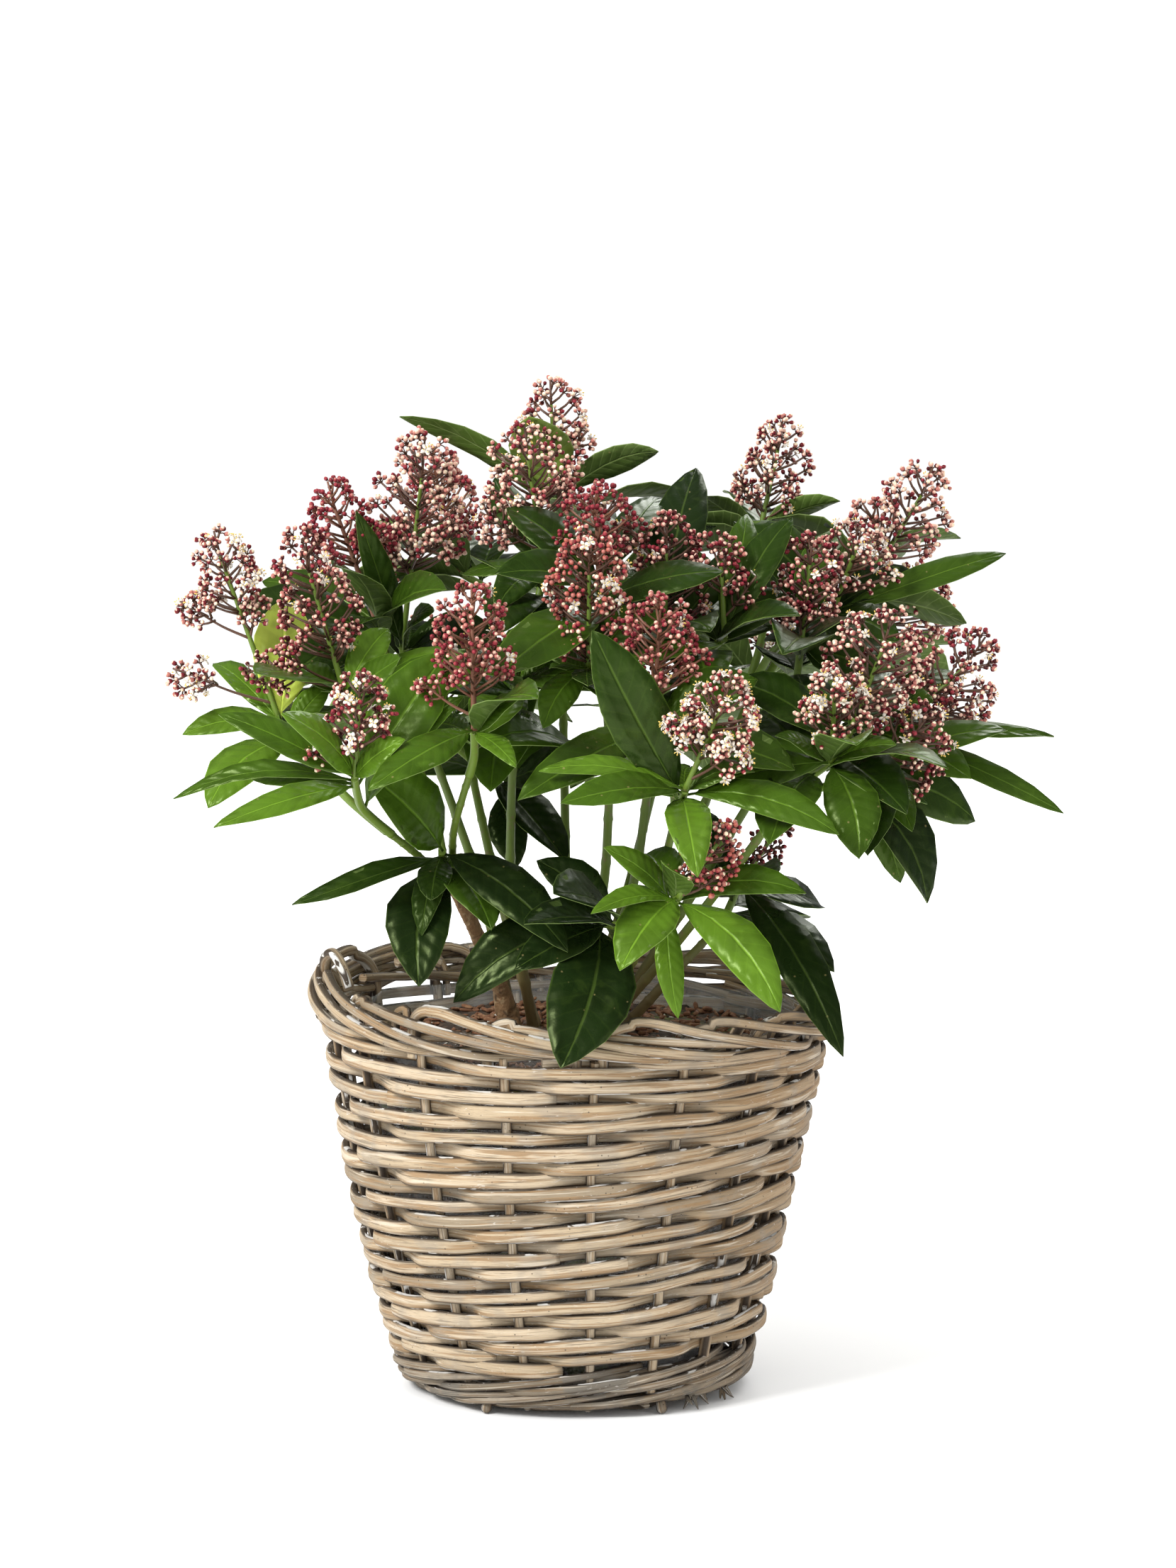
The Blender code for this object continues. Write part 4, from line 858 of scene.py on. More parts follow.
# Each shoot: its bough, where its whorl is, where its flower head is, the head's width
# and height, the look of its buds and of its leaves, and the leaves that show, as tip
# offsets from the whorl with a width and, for some, a tone of their own
SHOOTS = {
    "shoot_far_left": (
        "bough_left_low", (-172, -50, 403), (-206, -50, 500), (34, 34), "cream", "fresh",
        ((0, 35, 68, 34, "backlit"), (-56, -12, -6, 17), (-42, 50, 29, 15)),
    ),
    "shoot_left_low": (
        "bough_left_low", (-124, -165, 385), (-121, -170, 431), (34, 34), "dusky_open", "fresh",
        ((-76, -20, 37, 19), (-38, -30, 42, 21), (-103, 10, -13, 12), (-60, 20, -3, 14),
         (-77, -40, -23, 18), (51, -4, 67, 36), (61, 5, 44, 23)),
    ),
    "shoot_left_front": (
        "bough_left", (-133, -80, 423), (-153, -80, 493), (42, 54), "dusky", "fresh",
        ((25, 20, 36, 19), (34, -26, 24, 20)),
    ),
    "shoot_left_upper": (
        "bough_left", (-117, 0, 456), (-142, 0, 525), (37, 34), "ruby", "green",
        ((-70, 45, 20, 24),),
    ),
    "shoot_upper_left": (
        "bough_upper_left", (-103, 20, 440), (-91, 20, 540), (46, 56), "pink", "dark",
        ((-25, -14, 84, 17), (20, -48, 26, 18)),
    ),
    "shoot_front_left": (
        "bough_front_left", (-57, -150, 410), (-58, -150, 473), (42, 42), "ruby_pink", "fresh",
        ((-58, -52, -27, 23), (24, -48, -14, 12)),
    ),
    "shoot_fork": (
        "trunk", (-77, -86, 332), None, None, None, "dark",
        ((-43, -72, 50, 40, "fresh"), (73, -54, -50, 29), (-85, -36, -26, 14), (-11, -32, -44, 16)),
    ),
    "shoot_inner_left": (
        "bough_inner_left", (-34, -42, 428), (-30, -50, 452), (12, 12), "coral", "green",
        ((12, -22, 34, 20), (48, -32, -3, 18), (-12, -42, -28, 20)),
    ),
    "shoot_top_front": (
        "bough_inner_left", (-18, -18, 487), (-28, -20, 557), (46, 36), "pink", "dark",
        ((-30, 50, 52, 20), (-28, -54, -16, 22)),
    ),
    "shoot_top": (
        "bough_back", (-12, 118, 520), (-15, 120, 577), (37, 34), "pink", "dark",
        ((62, -22, 30, 20), (-16, -16, 52, 36, "olive"), (-94, -34, 52, 16)),
    ),
    "shoot_middle_upper": (
        "bough_middle", (14, -58, 486), (12, -60, 530), (37, 32), "ruby", "dark",
        ((45, 60, 52, 26),),
    ),
    "shoot_middle_front": (
        "bough_middle", (8, -96, 440), (8, -102, 494), (42, 54), "coral", "green",
        ((-26, -40, -30, 19),),
    ),
    "shoot_middle_right": (
        "bough_middle_right", (52, -38, 452), (53, -42, 501), (42, 48), "dusky", "dark",
        ((20, 78, 92, 30), (44, 44, 48, 19)),
    ),
    "shoot_right_of_middle": (
        "bough_middle_right", (87, -48, 452), (84, -50, 504), (32, 28), "dusky", "dark",
        ((40, 12, 68, 21), (14, 52, 68, 19)),
    ),
    "shoot_front_middle": (
        "bough_front", (44, -118, 407), (48, -122, 466), (44, 38), "ruby_pink", "green",
        ((-76, -70, -32, 27),),
    ),
    "shoot_front_right": (
        "bough_front", (62, -166, 378), (84, -172, 430), (38, 32), "open", "fresh",
        ((-82, -22, 14, 12), (-70, -48, -1, 20), (86, -24, -22, 21), (6, -32, -40, 25),
         (-52, -12, 92, 36, "dark")),
    ),
    "shoot_front_low_right": (
        "bough_front_low", (58, -176, 318), (80, -182, 350), (32, 28), "coral", "bright",
        ((-33, -50, -33, 29), (-49, -45, -2, 14), (56, -56, -55, 26), (-42, -22, 32, 16),
         (72, -8, 4, 19), (0, -14, -66, 14)),
    ),
    "shoot_front_low": (
        "bough_front_low", (14, -98, 292), None, None, None, "deep",
        ((-22, -84, -70, 46), (-84, -14, -44, 32), (-48, -42, -20, 25), (-36, -10, 38, 25)),
    ),
    "shoot_right_front": (
        "bough_right_low", (157, -96, 400), (177, -102, 454), (50, 42), "cream", "dark",
        ((-45, 26, -30, 22), (30, 66, 30, 24)),
    ),
    "shoot_right_low_front": (
        "bough_right_low", (146, -132, 390), (147, -142, 430), (34, 28), "open", "green",
        ((-76, 4, -18, 24), (14, -42, -50, 29)),
    ),
    "shoot_right_low": (
        "bough_right_low", (168, -82, 376), (194, -96, 400), (46, 44), "dusky_open", "dark",
        ((24, -52, -26, 18), (20, -6, -62, 18), (84, 20, 22, 20)),
    ),
    "shoot_right_inner": (
        "bough_right", (132, -28, 447), (137, -30, 493), (36, 40), "dusky", "dark",
        ((24, 26, 60, 22), (44, -26, -14, 26)),
    ),
    "shoot_far_right": (
        "bough_right", (187, -20, 393), (229, -22, 433), (42, 46), "dusky_open", "green",
        ((94, -18, -2, 12), (97, -42, -42, 14), (36, 44, 32, 21)),
    ),
    "shoot_low_right": (
        "bough_low_right", (97, 10, 298), (117, 14, 326), (25, 24), "maroon", "deep",
        ((58, -80, -84, 26), (52, 62, -22, 26)),
    ),
    "shoot_right_upper": (
        "bough_right_back", (152, 8, 462), (166, 0, 502), (44, 28), "cream", "dark",
        ((104, 26, 32, 17),),
    ),
    "shoot_right_upper_back": (
        "bough_right_back", (176, 78, 472), (208, 80, 525), (38, 42), "pink", "dark",
        ((-34, -22, 34, 21), (60, 40, 22, 24)),
    ),
    "shoot_right_back": (
        "bough_right_back", (176, 100, 428), (208, 102, 468), (50, 26), "cream", "dark",
        ((56, 34, 2, 20), (24, 76, -22, 26)),
    ),
    "shoot_upper_right_back": (
        "bough_right_back", (112, 116, 500), (123, 120, 550), (35, 42), "cream", "dark",
        ((48, -18, 20, 17), (-36, -30, 24, 18), (-20, 80, 18, 26)),
    ),
    "shoot_inner_low": (
        "bough_upper_left", (-42, 36, 352), None, None, None, "deep",
        (),
    ),
    "shoot_back_left": (
        "bough_back_left", (-134, 118, 412), (-158, 128, 462), (40, 38), "pink", "green",
        ((-72, 40, -16, 26), (-30, 86, 10, 28)),
    ),
    "shoot_back_low_left": (
        "bough_back_left", (-78, 162, 380), (-92, 180, 424), (38, 36), "dusky", "green",
        ((-62, 52, -34, 28), (24, 78, -28, 28)),
    ),
    "shoot_back_top_left": (
        "bough_back", (-70, 104, 476), (-84, 112, 530), (42, 42), "ruby_pink", "dark",
        ((-74, 44, 14, 24), (-10, 84, 18, 26)),
    ),
    "shoot_back_middle": (
        "bough_back", (16, 176, 448), (18, 188, 500), (42, 44), "pink", "green",
        ((-34, 72, 24, 28), (50, 64, 8, 28)),
    ),
    "shoot_back_low_right": (
        "bough_back_right", (48, 190, 366), (54, 210, 410), (40, 38), "dusky_open", "dark",
        ((-52, 58, -40, 28), (38, 72, -34, 28)),
    ),
    "shoot_back_right": (
        "bough_back_right", (118, 166, 402), (136, 178, 450), (42, 40), "cream", "green",
        ((70, 44, -28, 26), (28, 78, 0, 28)),
    ),
}

# Loose sprays beside the main heads: the shoot, the spray's centre and its width
SPRAYS = (
    ("shoot_far_left", (-222, -54, 470), 18),
    ("shoot_far_left", (-186, -52, 470), 16),
    ("shoot_far_left", (-224, -58, 432), 22),
    ("shoot_left_front", (-178, -88, 438), 24),
    ("shoot_left_front", (-164, -100, 446), 16),
    ("shoot_left_upper", (-118, -6, 508), 20),
    ("shoot_left_upper", (-116, 14, 484), 20),
    ("shoot_upper_left", (-108, 12, 500), 24),
    ("shoot_upper_left", (-74, 14, 506), 20),
    ("shoot_top_front", (-46, -30, 518), 26),
    ("shoot_top_front", (-4, -16, 536), 18),
    ("shoot_top", (2, 112, 556), 18),
    ("shoot_left_low", (-146, -176, 400), 14),
    ("shoot_front_left", (-84, -154, 436), 15),
    ("shoot_middle_right", (32, -50, 516), 20),
    ("shoot_right_of_middle", (100, -52, 482), 18),
    ("shoot_upper_right_back", (100, 112, 530), 16),
    ("shoot_right_upper_back", (178, 70, 512), 24),
    ("shoot_right_inner", (130, -36, 468), 16),
    ("shoot_far_right", (224, -28, 408), 20),
    ("shoot_front_right", (60, -180, 418), 20),
    ("shoot_front_right", (88, -182, 402), 20),
    ("shoot_front_low_right", (78, -186, 330), 13),
)


def curve_through(points, steps):
    """Even points along a Catmull-Rom curve through a list of points."""
    knots = [Vector(p) for p in points]
    knots = [2 * knots[0] - knots[1]] + knots + [2 * knots[-1] - knots[-2]]
    path = []
    for a, b, c, d in zip(knots, knots[1:], knots[2:], knots[3:]):
        for i in range(steps):
            t = i / steps
            path.append(
                0.5 * (2 * b + (c - a) * t + (2 * a - 5 * b + 4 * c - d) * t * t
                       + (3 * b - a - 3 * c + d) * t ** 3)
            )
    path.append(knots[-2])
    return path


def square_axes(ahead):
    """Two directions square to a heading of length one and to each other."""
    side = ahead.orthogonal().normalized()
    return side, ahead.cross(side)


def way_out(turn, side, other):
    """The heading at a turn round an axis: cos(turn) side + sin(turn) other."""
    return math.cos(turn) * side + math.sin(turn) * other


def limb_room(path, radii, sides, foot=None):
    """The plain limb that keeps others away: a polygon carried along a path. foot is
    the direction its first ring is square to."""
    path = [Vector(p) for p in path]
    along = [(b - a).normalized() for a, b in zip(path, path[1:])]
    heading = [along[0]] + [(a + b).normalized() for a, b in zip(along, along[1:])] + [along[-1]]
    heading[0] = foot or heading[0]
    side = heading[0].orthogonal().normalized()
    points = []
    for point, ahead, radius in zip(path, heading, radii):
        side = (side - ahead * side.dot(ahead)).normalized()
        other = ahead.cross(side)
        for k in range(sides):
            points.append(point + radius * way_out(math.tau * k / sides, side, other))
    faces = []
    for low in range(0, sides * (len(path) - 1), sides):
        for k in range(sides):
            j = (k + 1) % sides
            faces.append((low + k, low + j, low + sides + j, low + sides + k))
    return points, faces + [tuple(range(sides)), tuple(range(len(points) - sides, len(points)))]


def leaf_axes(base, tip, lean):
    """The way a leaf points, the way its face points and the way across it. lean
    turns its face to the front, or to the back if negative."""
    along = (tip - base).normalized()
    up = Vector((0, -lean, 1 - 0.4 * abs(along.z)))
    up = (up - along * up.dot(along)).normalized()
    return along, up, along.cross(up)


def leaf_room(base, tip, width, lean, fine, grow=0.0):
    """The plain leaf that keeps others away: flat on top and keeled below, on a chord
    that arches up. With grow its sections are oblongs with that clearance all round."""
    along, up, side = leaf_axes(base, tip, lean)
    length = (tip - base).length
    tip = tip + along * grow
    stations = [(0.0, LEAF_STEM_WIDTH / 2)]
    stations += [(0.36, width * 0.47), (0.72, width * 0.40)] if fine else [(0.52, width * 0.5)]
    sections = []
    for share, half in stations:
        centre = base.lerp(tip, share) + up * (4 * LEAF_ARCH * length * share * (1 - share))
        face = centre + up * (LEAF_THICK / 2 + grow)
        back = centre - up * (LEAF_THICK / 2 + grow)
        across = side * (half + grow)
        oblong = [face - across, face + across, back + across, back - across]
        sections.append(oblong if grow else [face - across, face + across, back])
    count = len(sections[0])
    points = [p for section in sections for p in section] + [tip]
    faces = [tuple(range(count))]
    last = count * (len(sections) - 1)
    for k in range(count):
        j = (k + 1) % count
        for low in range(0, last, count):
            faces.append((low + k, low + count + k, low + count + j, low + j))
        faces.append((last + k, last + count, last + j))
    return points, faces


def head_room(centre, axis, width, height, sides, levels, luck):
    """The plain lobed egg that keeps others away from a head of buds."""
    axis = axis.normalized()
    side, other = square_axes(axis)
    points = [centre - axis * height / 2]
    for level in range(levels):
        rise = (level + 0.8) / (levels + 0.8)
        half = width / 2 * math.sin(math.pi * rise ** 0.8)
        for k in range(sides):
            turn = math.tau * (k + 0.5 * level) / sides
            reach = half * (0.92 + 0.16 * luck.random()) * (1.08 if k % 2 else 0.90)
            level_centre = centre + axis * height * (rise - 0.5)
            points.append(level_centre + reach * way_out(turn, side, other))
    points.append(centre + axis * height / 2)
    top = len(points) - 1
    faces = []
    for k in range(sides):
        j = (k + 1) % sides
        faces.append((0, 1 + j, 1 + k))
        for low in range(1, 1 + (levels - 1) * sides, sides):
            faces.append((low + k, low + j, low + sides + k))
            faces.append((low + j, low + sides + j, low + sides + k))
        last = 1 + (levels - 1) * sides
        faces.append((last + k, last + j, top))
    return points, faces


class Clearance:
    """Every piece placed so far with its owner, to test a new one against."""

    def __init__(self):
        self.placed = []

    @staticmethod
    def tree(shape):
        """A shape of points and faces, sorted to find quickly what overlaps it."""
        return BVHTree.FromPolygons([tuple(p) for p in shape[0]], shape[1])

    @staticmethod
    def box(shape):
        """The low and the high corner of a shape's box."""
        points = np.array([tuple(p) for p in shape[0]])
        return points.min(axis=0), points.max(axis=0)

    def touches(self, shape, owner):
        """Whether a shape overlaps any placed piece of another owner."""
        low, high = self.box(shape)
        tree = None
        for other, other_low, other_high, other_tree in self.placed:
            if other == owner or (low > other_high).any() or (high < other_low).any():
                continue
            tree = tree or self.tree(shape)
            if tree.overlap(other_tree):
                return True
        return False

    def add(self, shape, owner):
        """Keep a shape as placed."""
        self.placed.append((owner, *self.box(shape), self.tree(shape)))


def limb_route(start, passes, room, owner, foot=None, steps=2):
    """The path of a limb through its points. Where it would touch another limb, its
    middle bows aside, a little more at each try."""
    end = Vector(passes[-1])
    start = Vector(start)
    across = (end - start).orthogonal().normalized()
    other = (end - start).normalized().cross(across)
    for attempt in range(60):
        bow = 1.6 * math.sqrt(attempt) * way_out(GOLDEN_ANGLE * attempt, across, other)
        path = curve_through([start] + [Vector(p) + bow for p in passes[:-1]] + [end], steps)
        radii = [room - ROOM + GAP] + [room] * (len(path) - 1)
        if not clearance.touches(limb_room(path, radii, 6, foot), owner):
            return path
    raise ValueError("no free way for " + owner)


def feet_round(tip, ahead, headings):
    """Where limbs start at the end of the one that carries them: one straight on,
    or several side by side round its end, each on the side it heads for."""
    tip = Vector(tip) + ahead * GAP
    if len(headings) == 1:
        return [tip]
    side, other = square_axes(ahead)
    turns = [math.atan2(h.dot(other), h.dot(side)) for h in headings]
    order = sorted(range(len(headings)), key=lambda i: turns[i])
    spread = (STEM_RADIUS + GAP) / math.sin(math.pi / len(headings))
    step = math.tau / len(headings)
    offset = sum(turns[i] - step * place for place, i in enumerate(order)) / len(headings)
    feet = [None] * len(headings)
    for place, i in enumerate(order):
        feet[i] = tip + spread * way_out(offset + step * place, side, other)
    return feet


def taper(count, start, end):
    """A list of radii that runs evenly from the first to the last."""
    return [start + (end - start) * i / (count - 1) for i in range(count)]


def grow_boughs():
    """The boughs from the trunk's fork and from the shrub's crown in the soil. Returns
    their paths, and where each shoot's stem starts and the way its bough points."""
    starts = {}
    paths = {}
    forked = {name: passes[-1] for name, (foot, passes) in BOUGHS.items() if foot == "trunk"}
    forked.update({name: row[1] for name, row in SHOOTS.items() if row[0] == "trunk"})
    ahead = (trunk_path[-1] - trunk_path[-2]).normalized()
    headings = [Vector(end) - trunk_path[-1] for end in forked.values()]
    feet = dict(zip(forked, feet_round(trunk_path[-1], ahead, headings)))
    for name, (foot, passes) in BOUGHS.items():
        if foot == "trunk":
            start = feet[name]
            square_to = ahead
            radii = (BOUGH_TIP_RADIUS, FORKED_TIP_RADIUS)
        else:
            start = Vector((*foot, SOIL_TOP + GAP))
            square_to = UPRIGHT
            radii = (BOUGH_FOOT_RADIUS, BOUGH_TIP_RADIUS)
        path = limb_route(start, passes, radii[0] + ROOM, name, square_to)
        clearance.add(limb_room(path, taper(len(path), *radii), 5, square_to), name)
        paths[name] = (path, radii)
        tip_ahead = (path[-1] - path[-2]).normalized()
        carried = [shoot for shoot, row in SHOOTS.items() if row[0] == name]
        headings = [Vector(SHOOTS[shoot][1]) - path[-1] for shoot in carried]
        places = feet_round(path[-1], tip_ahead, headings)
        starts.update({shoot: (place, tip_ahead) for shoot, place in zip(carried, places)})
    starts.update({name: (feet[name], ahead) for name in feet if name in SHOOTS})
    return paths, starts


def grow_stem(name, foot, ahead):
    """A shoot's stem to its whorl, its stalk to its head, and the room of both."""
    luck = random.Random(name)
    _, whorl, head, size, look, tone, _ = SHOOTS[name]
    whorl = Vector(whorl)
    reach = (whorl - foot).length
    lead = foot + ahead * 0.25 * reach + (whorl - foot) * 0.15
    stem = limb_route(foot, [lead, whorl], STEM_RADIUS + ROOM, name, ahead)
    path = list(stem)
    radii = taper(len(path), STEM_RADIUS, STEM_RADIUS * 0.9)
    axis = (path[-1] - path[-2]).normalized()
    stalk = None
    bunches = []
    rooms = []
    if head:
        head = Vector(head)
        axis = (head - whorl).normalized()
        passes = [whorl.lerp(head, 0.5), head]
        stalk = limb_route(whorl, passes, PEDUNCLE_RADIUS + ROOM, name, steps=1)
        path += stalk[1:]
        radii += [PEDUNCLE_RADIUS, PEDUNCLE_RADIUS * 0.8]
        rooms, bunches = grow_heads(name, whorl, head, axis, size, luck)
    room = limb_room(path, radii, 3, ahead)
    own = Clearance()
    for shape in [room] + rooms:
        clearance.add(shape, name)
        own.add(shape, name)
    return {
        "stem": stem, "stalk": stalk, "bunches": bunches, "whorl": whorl, "axis": axis,
        "own": own, "leaves": [], "look": look, "tone": tone,
    }


def grow_heads(name, whorl, head, axis, size, luck):
    """The main head of buds, drawn in where it would touch another, and the loose
    sprays round it, each on a twig from the stalk. Returns their rooms and facts."""
    lifted = axis + Vector((0, 0, 0.4))
    for share in (1.0, 0.93, 0.86, 0.8, 0.72):
        room = head_room(head, lifted, size[0] * share, size[1] * share, 7, 3, luck)
        if not clearance.touches(room, name):
            break
    rooms = [room]
    bunches = [(head, lifted.normalized(), size[0] * share, size[1] * share, None)]
    for owner, centre, width in SPRAYS:
        if owner != name:
            continue
        centre = Vector(centre)
        share = (centre.z - whorl.z - SPRAY_RISE) / (head.z - whorl.z)
        node = whorl.lerp(head, min(0.75, max(0.05, share)))
        bunch = head_room(centre, centre - node, width, width * 1.05, 5, 2, luck)
        route = [node, node.lerp(centre, 0.5), centre]
        room = limb_room(route, [SPRAY_STEM_RADIUS + ROOM] * 3, 3)
        if not clearance.touches(bunch, name) and not clearance.touches(room, name):
            rooms += [bunch, limb_room(route, [SPRAY_STEM_RADIUS] * 3, 3)]
            bunches.append((centre, (centre - node).normalized(), width, width * 1.05, node))
    return rooms, bunches


def leaf_place(stem_path, place):
    """Where a leaf joins the stem: the upper leaves stand close together from the
    whorl down, the lower ones after a bare stretch."""
    down = place * LEAF_SPACING
    if place >= UPPER_LEAVES:
        down += LOWER_LEAVES_DROP
    whole = sum((b - a).length for a, b in zip(stem_path, stem_path[1:]))
    down = min(down, whole - FOOT_CLEARANCE - (LEAVES_PER_SHOOT - place) * 0.8)
    for lower, upper in zip(reversed(stem_path[:-1]), reversed(stem_path)):
        length = (upper - lower).length
        if down <= length:
            return upper.lerp(lower, down / length)
        down -= length
    return stem_path[0]


def try_leaf(name, shoot, base, tip, width, lean, fine, tone=None):
    """Grow one leaf if it clears all other shoots and, past its stalk, its own."""
    blade = leaf_room(base.lerp(tip, STALK_SHARE), tip, width, lean, fine)
    if shoot["own"].touches(blade, None):
        return False
    if clearance.touches(leaf_room(base, tip, width, lean, fine, grow=LEAF_CLEARANCE), name):
        return False
    shoot["own"].add(blade, name)
    clearance.add(leaf_room(base, tip, width, lean, fine), name)
    shoot["leaves"].append((base, tip, width, lean, tone))
    return True


def grow_shown_leaves():
    """The leaves that shape the outline. Where one would touch a neighbour it swings
    to the front or the back, which keeps its place as seen, and then is drawn back."""
    for name, shoot in shoots.items():
        whorl = shoot["whorl"]
        lean = FACE_LEAN if whorl.y < BACK_HALF else -FACE_LEAN
        for x, y, z, width, *tone in SHOOTS[name][-1]:
            base = leaf_place(shoot["stem"], len(shoot["leaves"]))
            for share, swing in SWINGS:
                tip = whorl + Vector((x, y, z)) * share + Vector((0, swing, 0))
                if try_leaf(name, shoot, base, tip, width * share, lean, True, *tone):
                    break


def grow_filling_leaves(young):
    """More leaves turn round each stem by the golden angle, the upper ones rising
    and the lower ones drooping, until the shoot is full. Young ones are small and
    stand close above the others."""
    for name, shoot in shoots.items():
        luck = random.Random(name + (" young leaves" if young else " leaves"))
        axis = (shoot["axis"] + Vector((0, 0, 0.6))).normalized()
        side, other = square_axes(axis)
        turn = luck.uniform(0, math.tau)
        facing = FACE_LEAN if shoot["whorl"].y < BACK_HALF else -FACE_LEAN
        full = len(shoot["leaves"]) + YOUNG_LEAVES if young else LEAVES_PER_SHOOT
        for attempt in range(40):
            grown = len(shoot["leaves"])
            if grown >= full:
                break
            turn += GOLDEN_ANGLE
            share = grown / LEAVES_PER_SHOOT
            if young:
                rise = math.radians(luck.uniform(-6, 40))
                length = luck.uniform(*YOUNG_LENGTH)
                base = leaf_place(shoot["stem"], luck.uniform(0, 4))
            else:
                rise = math.radians(42 - 64 * share + luck.uniform(-9, 9))
                length = luck.uniform(*LEAF_LENGTH) * (0.8 + 0.2 * share)
                length *= (1.0, 0.85, 0.7)[attempt // 14]
                base = leaf_place(shoot["stem"], grown)
            out = way_out(turn, side, other)
            tip = base + length * (math.cos(rise) * out + math.sin(rise) * axis)
            if tip.z < LOWEST_LEAF:
                continue
            lean = facing * luck.uniform(0.1, 1.0)
            try_leaf(name, shoot, base, tip, length * LEAF_SLIMNESS, lean, False)


clearance = Clearance()
for basket_node in ("basket_floor", "foot_band", "basket_wall", "basket_border", "liner", "soil"):
    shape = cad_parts[basket_node].data
    corners = [v.co / MM for v in shape.vertices]
    clearance.add((corners, [tuple(p.vertices) for p in shape.polygons]), basket_node)
trunk_path = curve_through(TRUNK_PATH, 2)
trunk_path[0] = trunk_path[0] + Vector((0, 0, GAP))
trunk_radii = taper(len(trunk_path), TRUNK_RADIUS, TRUNK_TIP_RADIUS)
trunk_radii[0] = TRUNK_FOOT_RADIUS
trunk_radii[1] = (TRUNK_FOOT_RADIUS + TRUNK_RADIUS) / 2
trunk_radii[-1] = FORK_RADIUS
clearance.add(limb_room(trunk_path, trunk_radii, 8, UPRIGHT), "trunk")
bough_paths, stem_starts = grow_boughs()
shoots = {name: grow_stem(name, *stem_starts[name]) for name in SHOOTS}
grow_shown_leaves()
grow_filling_leaves(young=False)
grow_filling_leaves(young=True)


def even_path(points, count):
    """A limb's path as evenly spread samples of a smooth curve."""
    return smooth_steps([tuple(p) for p in points], count)


def limb_skins(limbs, count, around, finish=0):
    """Round limbs from (path, first radius, last radius) in one batch, and the paths
    that run through their middles."""
    paths = np.array([even_path(path, count) for path, _, _ in limbs])
    share = np.linspace(0, 1, count)
    radii = np.array([start + (end - start) * share for _, start, end in limbs])
    return tubes(paths, radii, around, finish=finish), paths


def bark_skin():
    """The trunk: fissures and plates raised on a tapering tube, with a rounded end."""
    count = 150
    path = even_path([trunk_path[0] - Vector((0, 0, 4))] + trunk_path[1:], count)[None]
    share = np.linspace(0, 1, count)
    radii = np.interp(share, np.linspace(0, 1, len(trunk_radii)), trunk_radii)
    radii = np.where(share > 0.985, radii * 0.8, radii)[None]
    skin = tubes(path, radii, 40)
    middle = path[:, :, None]
    fissures = np.abs(noise(skin["rings"] * (1, 1, 0.28), 4.2, 61, 14))
    plates = noise(skin["rings"] * (1, 1, 0.5), 9.0, 67)
    relief = 0.94 + 0.13 * plates + 0.16 * np.clip(fissures, 0, 0.6)
    skin["rings"] = middle + (skin["rings"] - middle) * relief[..., None]
    return skin


bark = Paint("woody_bark", (0.24, 0.135, 0.062), 0.9)
bark.patch((0.42, 0.29, 0.16), bark.noise(150, 5, warp=0.8), 0.48, 0.64, 0.8)
bark.patch((0.10, 0.06, 0.03), bark.noise(90, 6, warp=1.5), 0.54, 0.66, 0.85)
bark.patch((0.30, 0.31, 0.17), bark.noise(38, 3), 0.58, 0.70, 0.5)
bark.bump(bark.noise(500, 6), 0.8, 0.0012)
add_piece("trunk_bark", [bark_skin()], [bark], ["trunk"])


def bough_batches():
    """The boughs as tubes with a swelling at each old leaf joint."""
    limbs = []
    for path, radii in bough_paths.values():
        start = path[0] - (path[1] - path[0]).normalized() * 2.5
        end = path[-1] + (path[-1] - path[-2]).normalized() * 1.5
        limbs.append(([start] + path[1:-1] + [end], *radii))
    skin, paths = limb_skins(limbs, 90, 12)
    share = np.linspace(0, 1, 90)[None, :, None, None]
    joints = np.exp(-((share * 7 + 0.3) % 1 - 0.5) ** 2 / 0.004)
    middle = paths[:, :, None]
    skin["rings"] = middle + (skin["rings"] - middle) * (1 + 0.16 * joints)
    return [skin]


def stem_paint(name, colour, pale):
    """Smooth young bark, with paler streaks along it and small brown scars."""
    paint = Paint(name, colour, 0.5)
    paint.patch(pale, paint.noise(90, 4, paint.uv((40, 1))), 0.5, 0.68, 0.6)
    paint.patch((0.16, 0.10, 0.05), paint.noise(210, 4), 0.60, 0.70, 0.55)
    paint.bump(paint.noise(420, 4), 0.35, 0.0004)
    return paint


green_bark = stem_paint("green_bark", (0.100, 0.160, 0.014), (0.18, 0.23, 0.04))
woody = green_bark.ramp(green_bark.part(green_bark.place, "Z"), 0.30, 0.225)
green_bark.layer((0.19, 0.12, 0.055), green_bark.math("MULTIPLY", woody, 0.85))
add_piece("boughs", bough_batches(), [green_bark], list(BOUGHS))

# LEAVES
# Leathery evergreen leaves, widest past the middle on a short stalk, folded a little
# along a pale midrib. Old ones are deep green, the new ones at the tips fresh green.
LEAF_STATIONS = np.array([0.0, 0.07, 0.16, 0.30, 0.48, 0.66, 0.82, 0.94, 1.0])
LEAF_COLUMNS = np.array([-1, -0.5, 0, 0.5, 1, 1, 0.5, 0, -0.5, -1])
BLADE_THICK = 0.7
LEAF_FULLNESS = 1.07
BLADE_START = 0.07

# How much leaves differ: the fold on the midrib and the twist in radians, the edge's
# ripple in mm, the bend and curl as shares of the length, and the bow in LEAF_ARCHes
LEAF_FOLD = (-0.06, 0.36)
LEAF_RIPPLE = (0.2, 1.3)
LEAF_TWIST = (-0.45, 0.45)
LEAF_BEND = (-0.07, 0.07)
LEAF_CURL = (-0.03, 0.09)
LEAF_BOW = (2.8, 5.4)
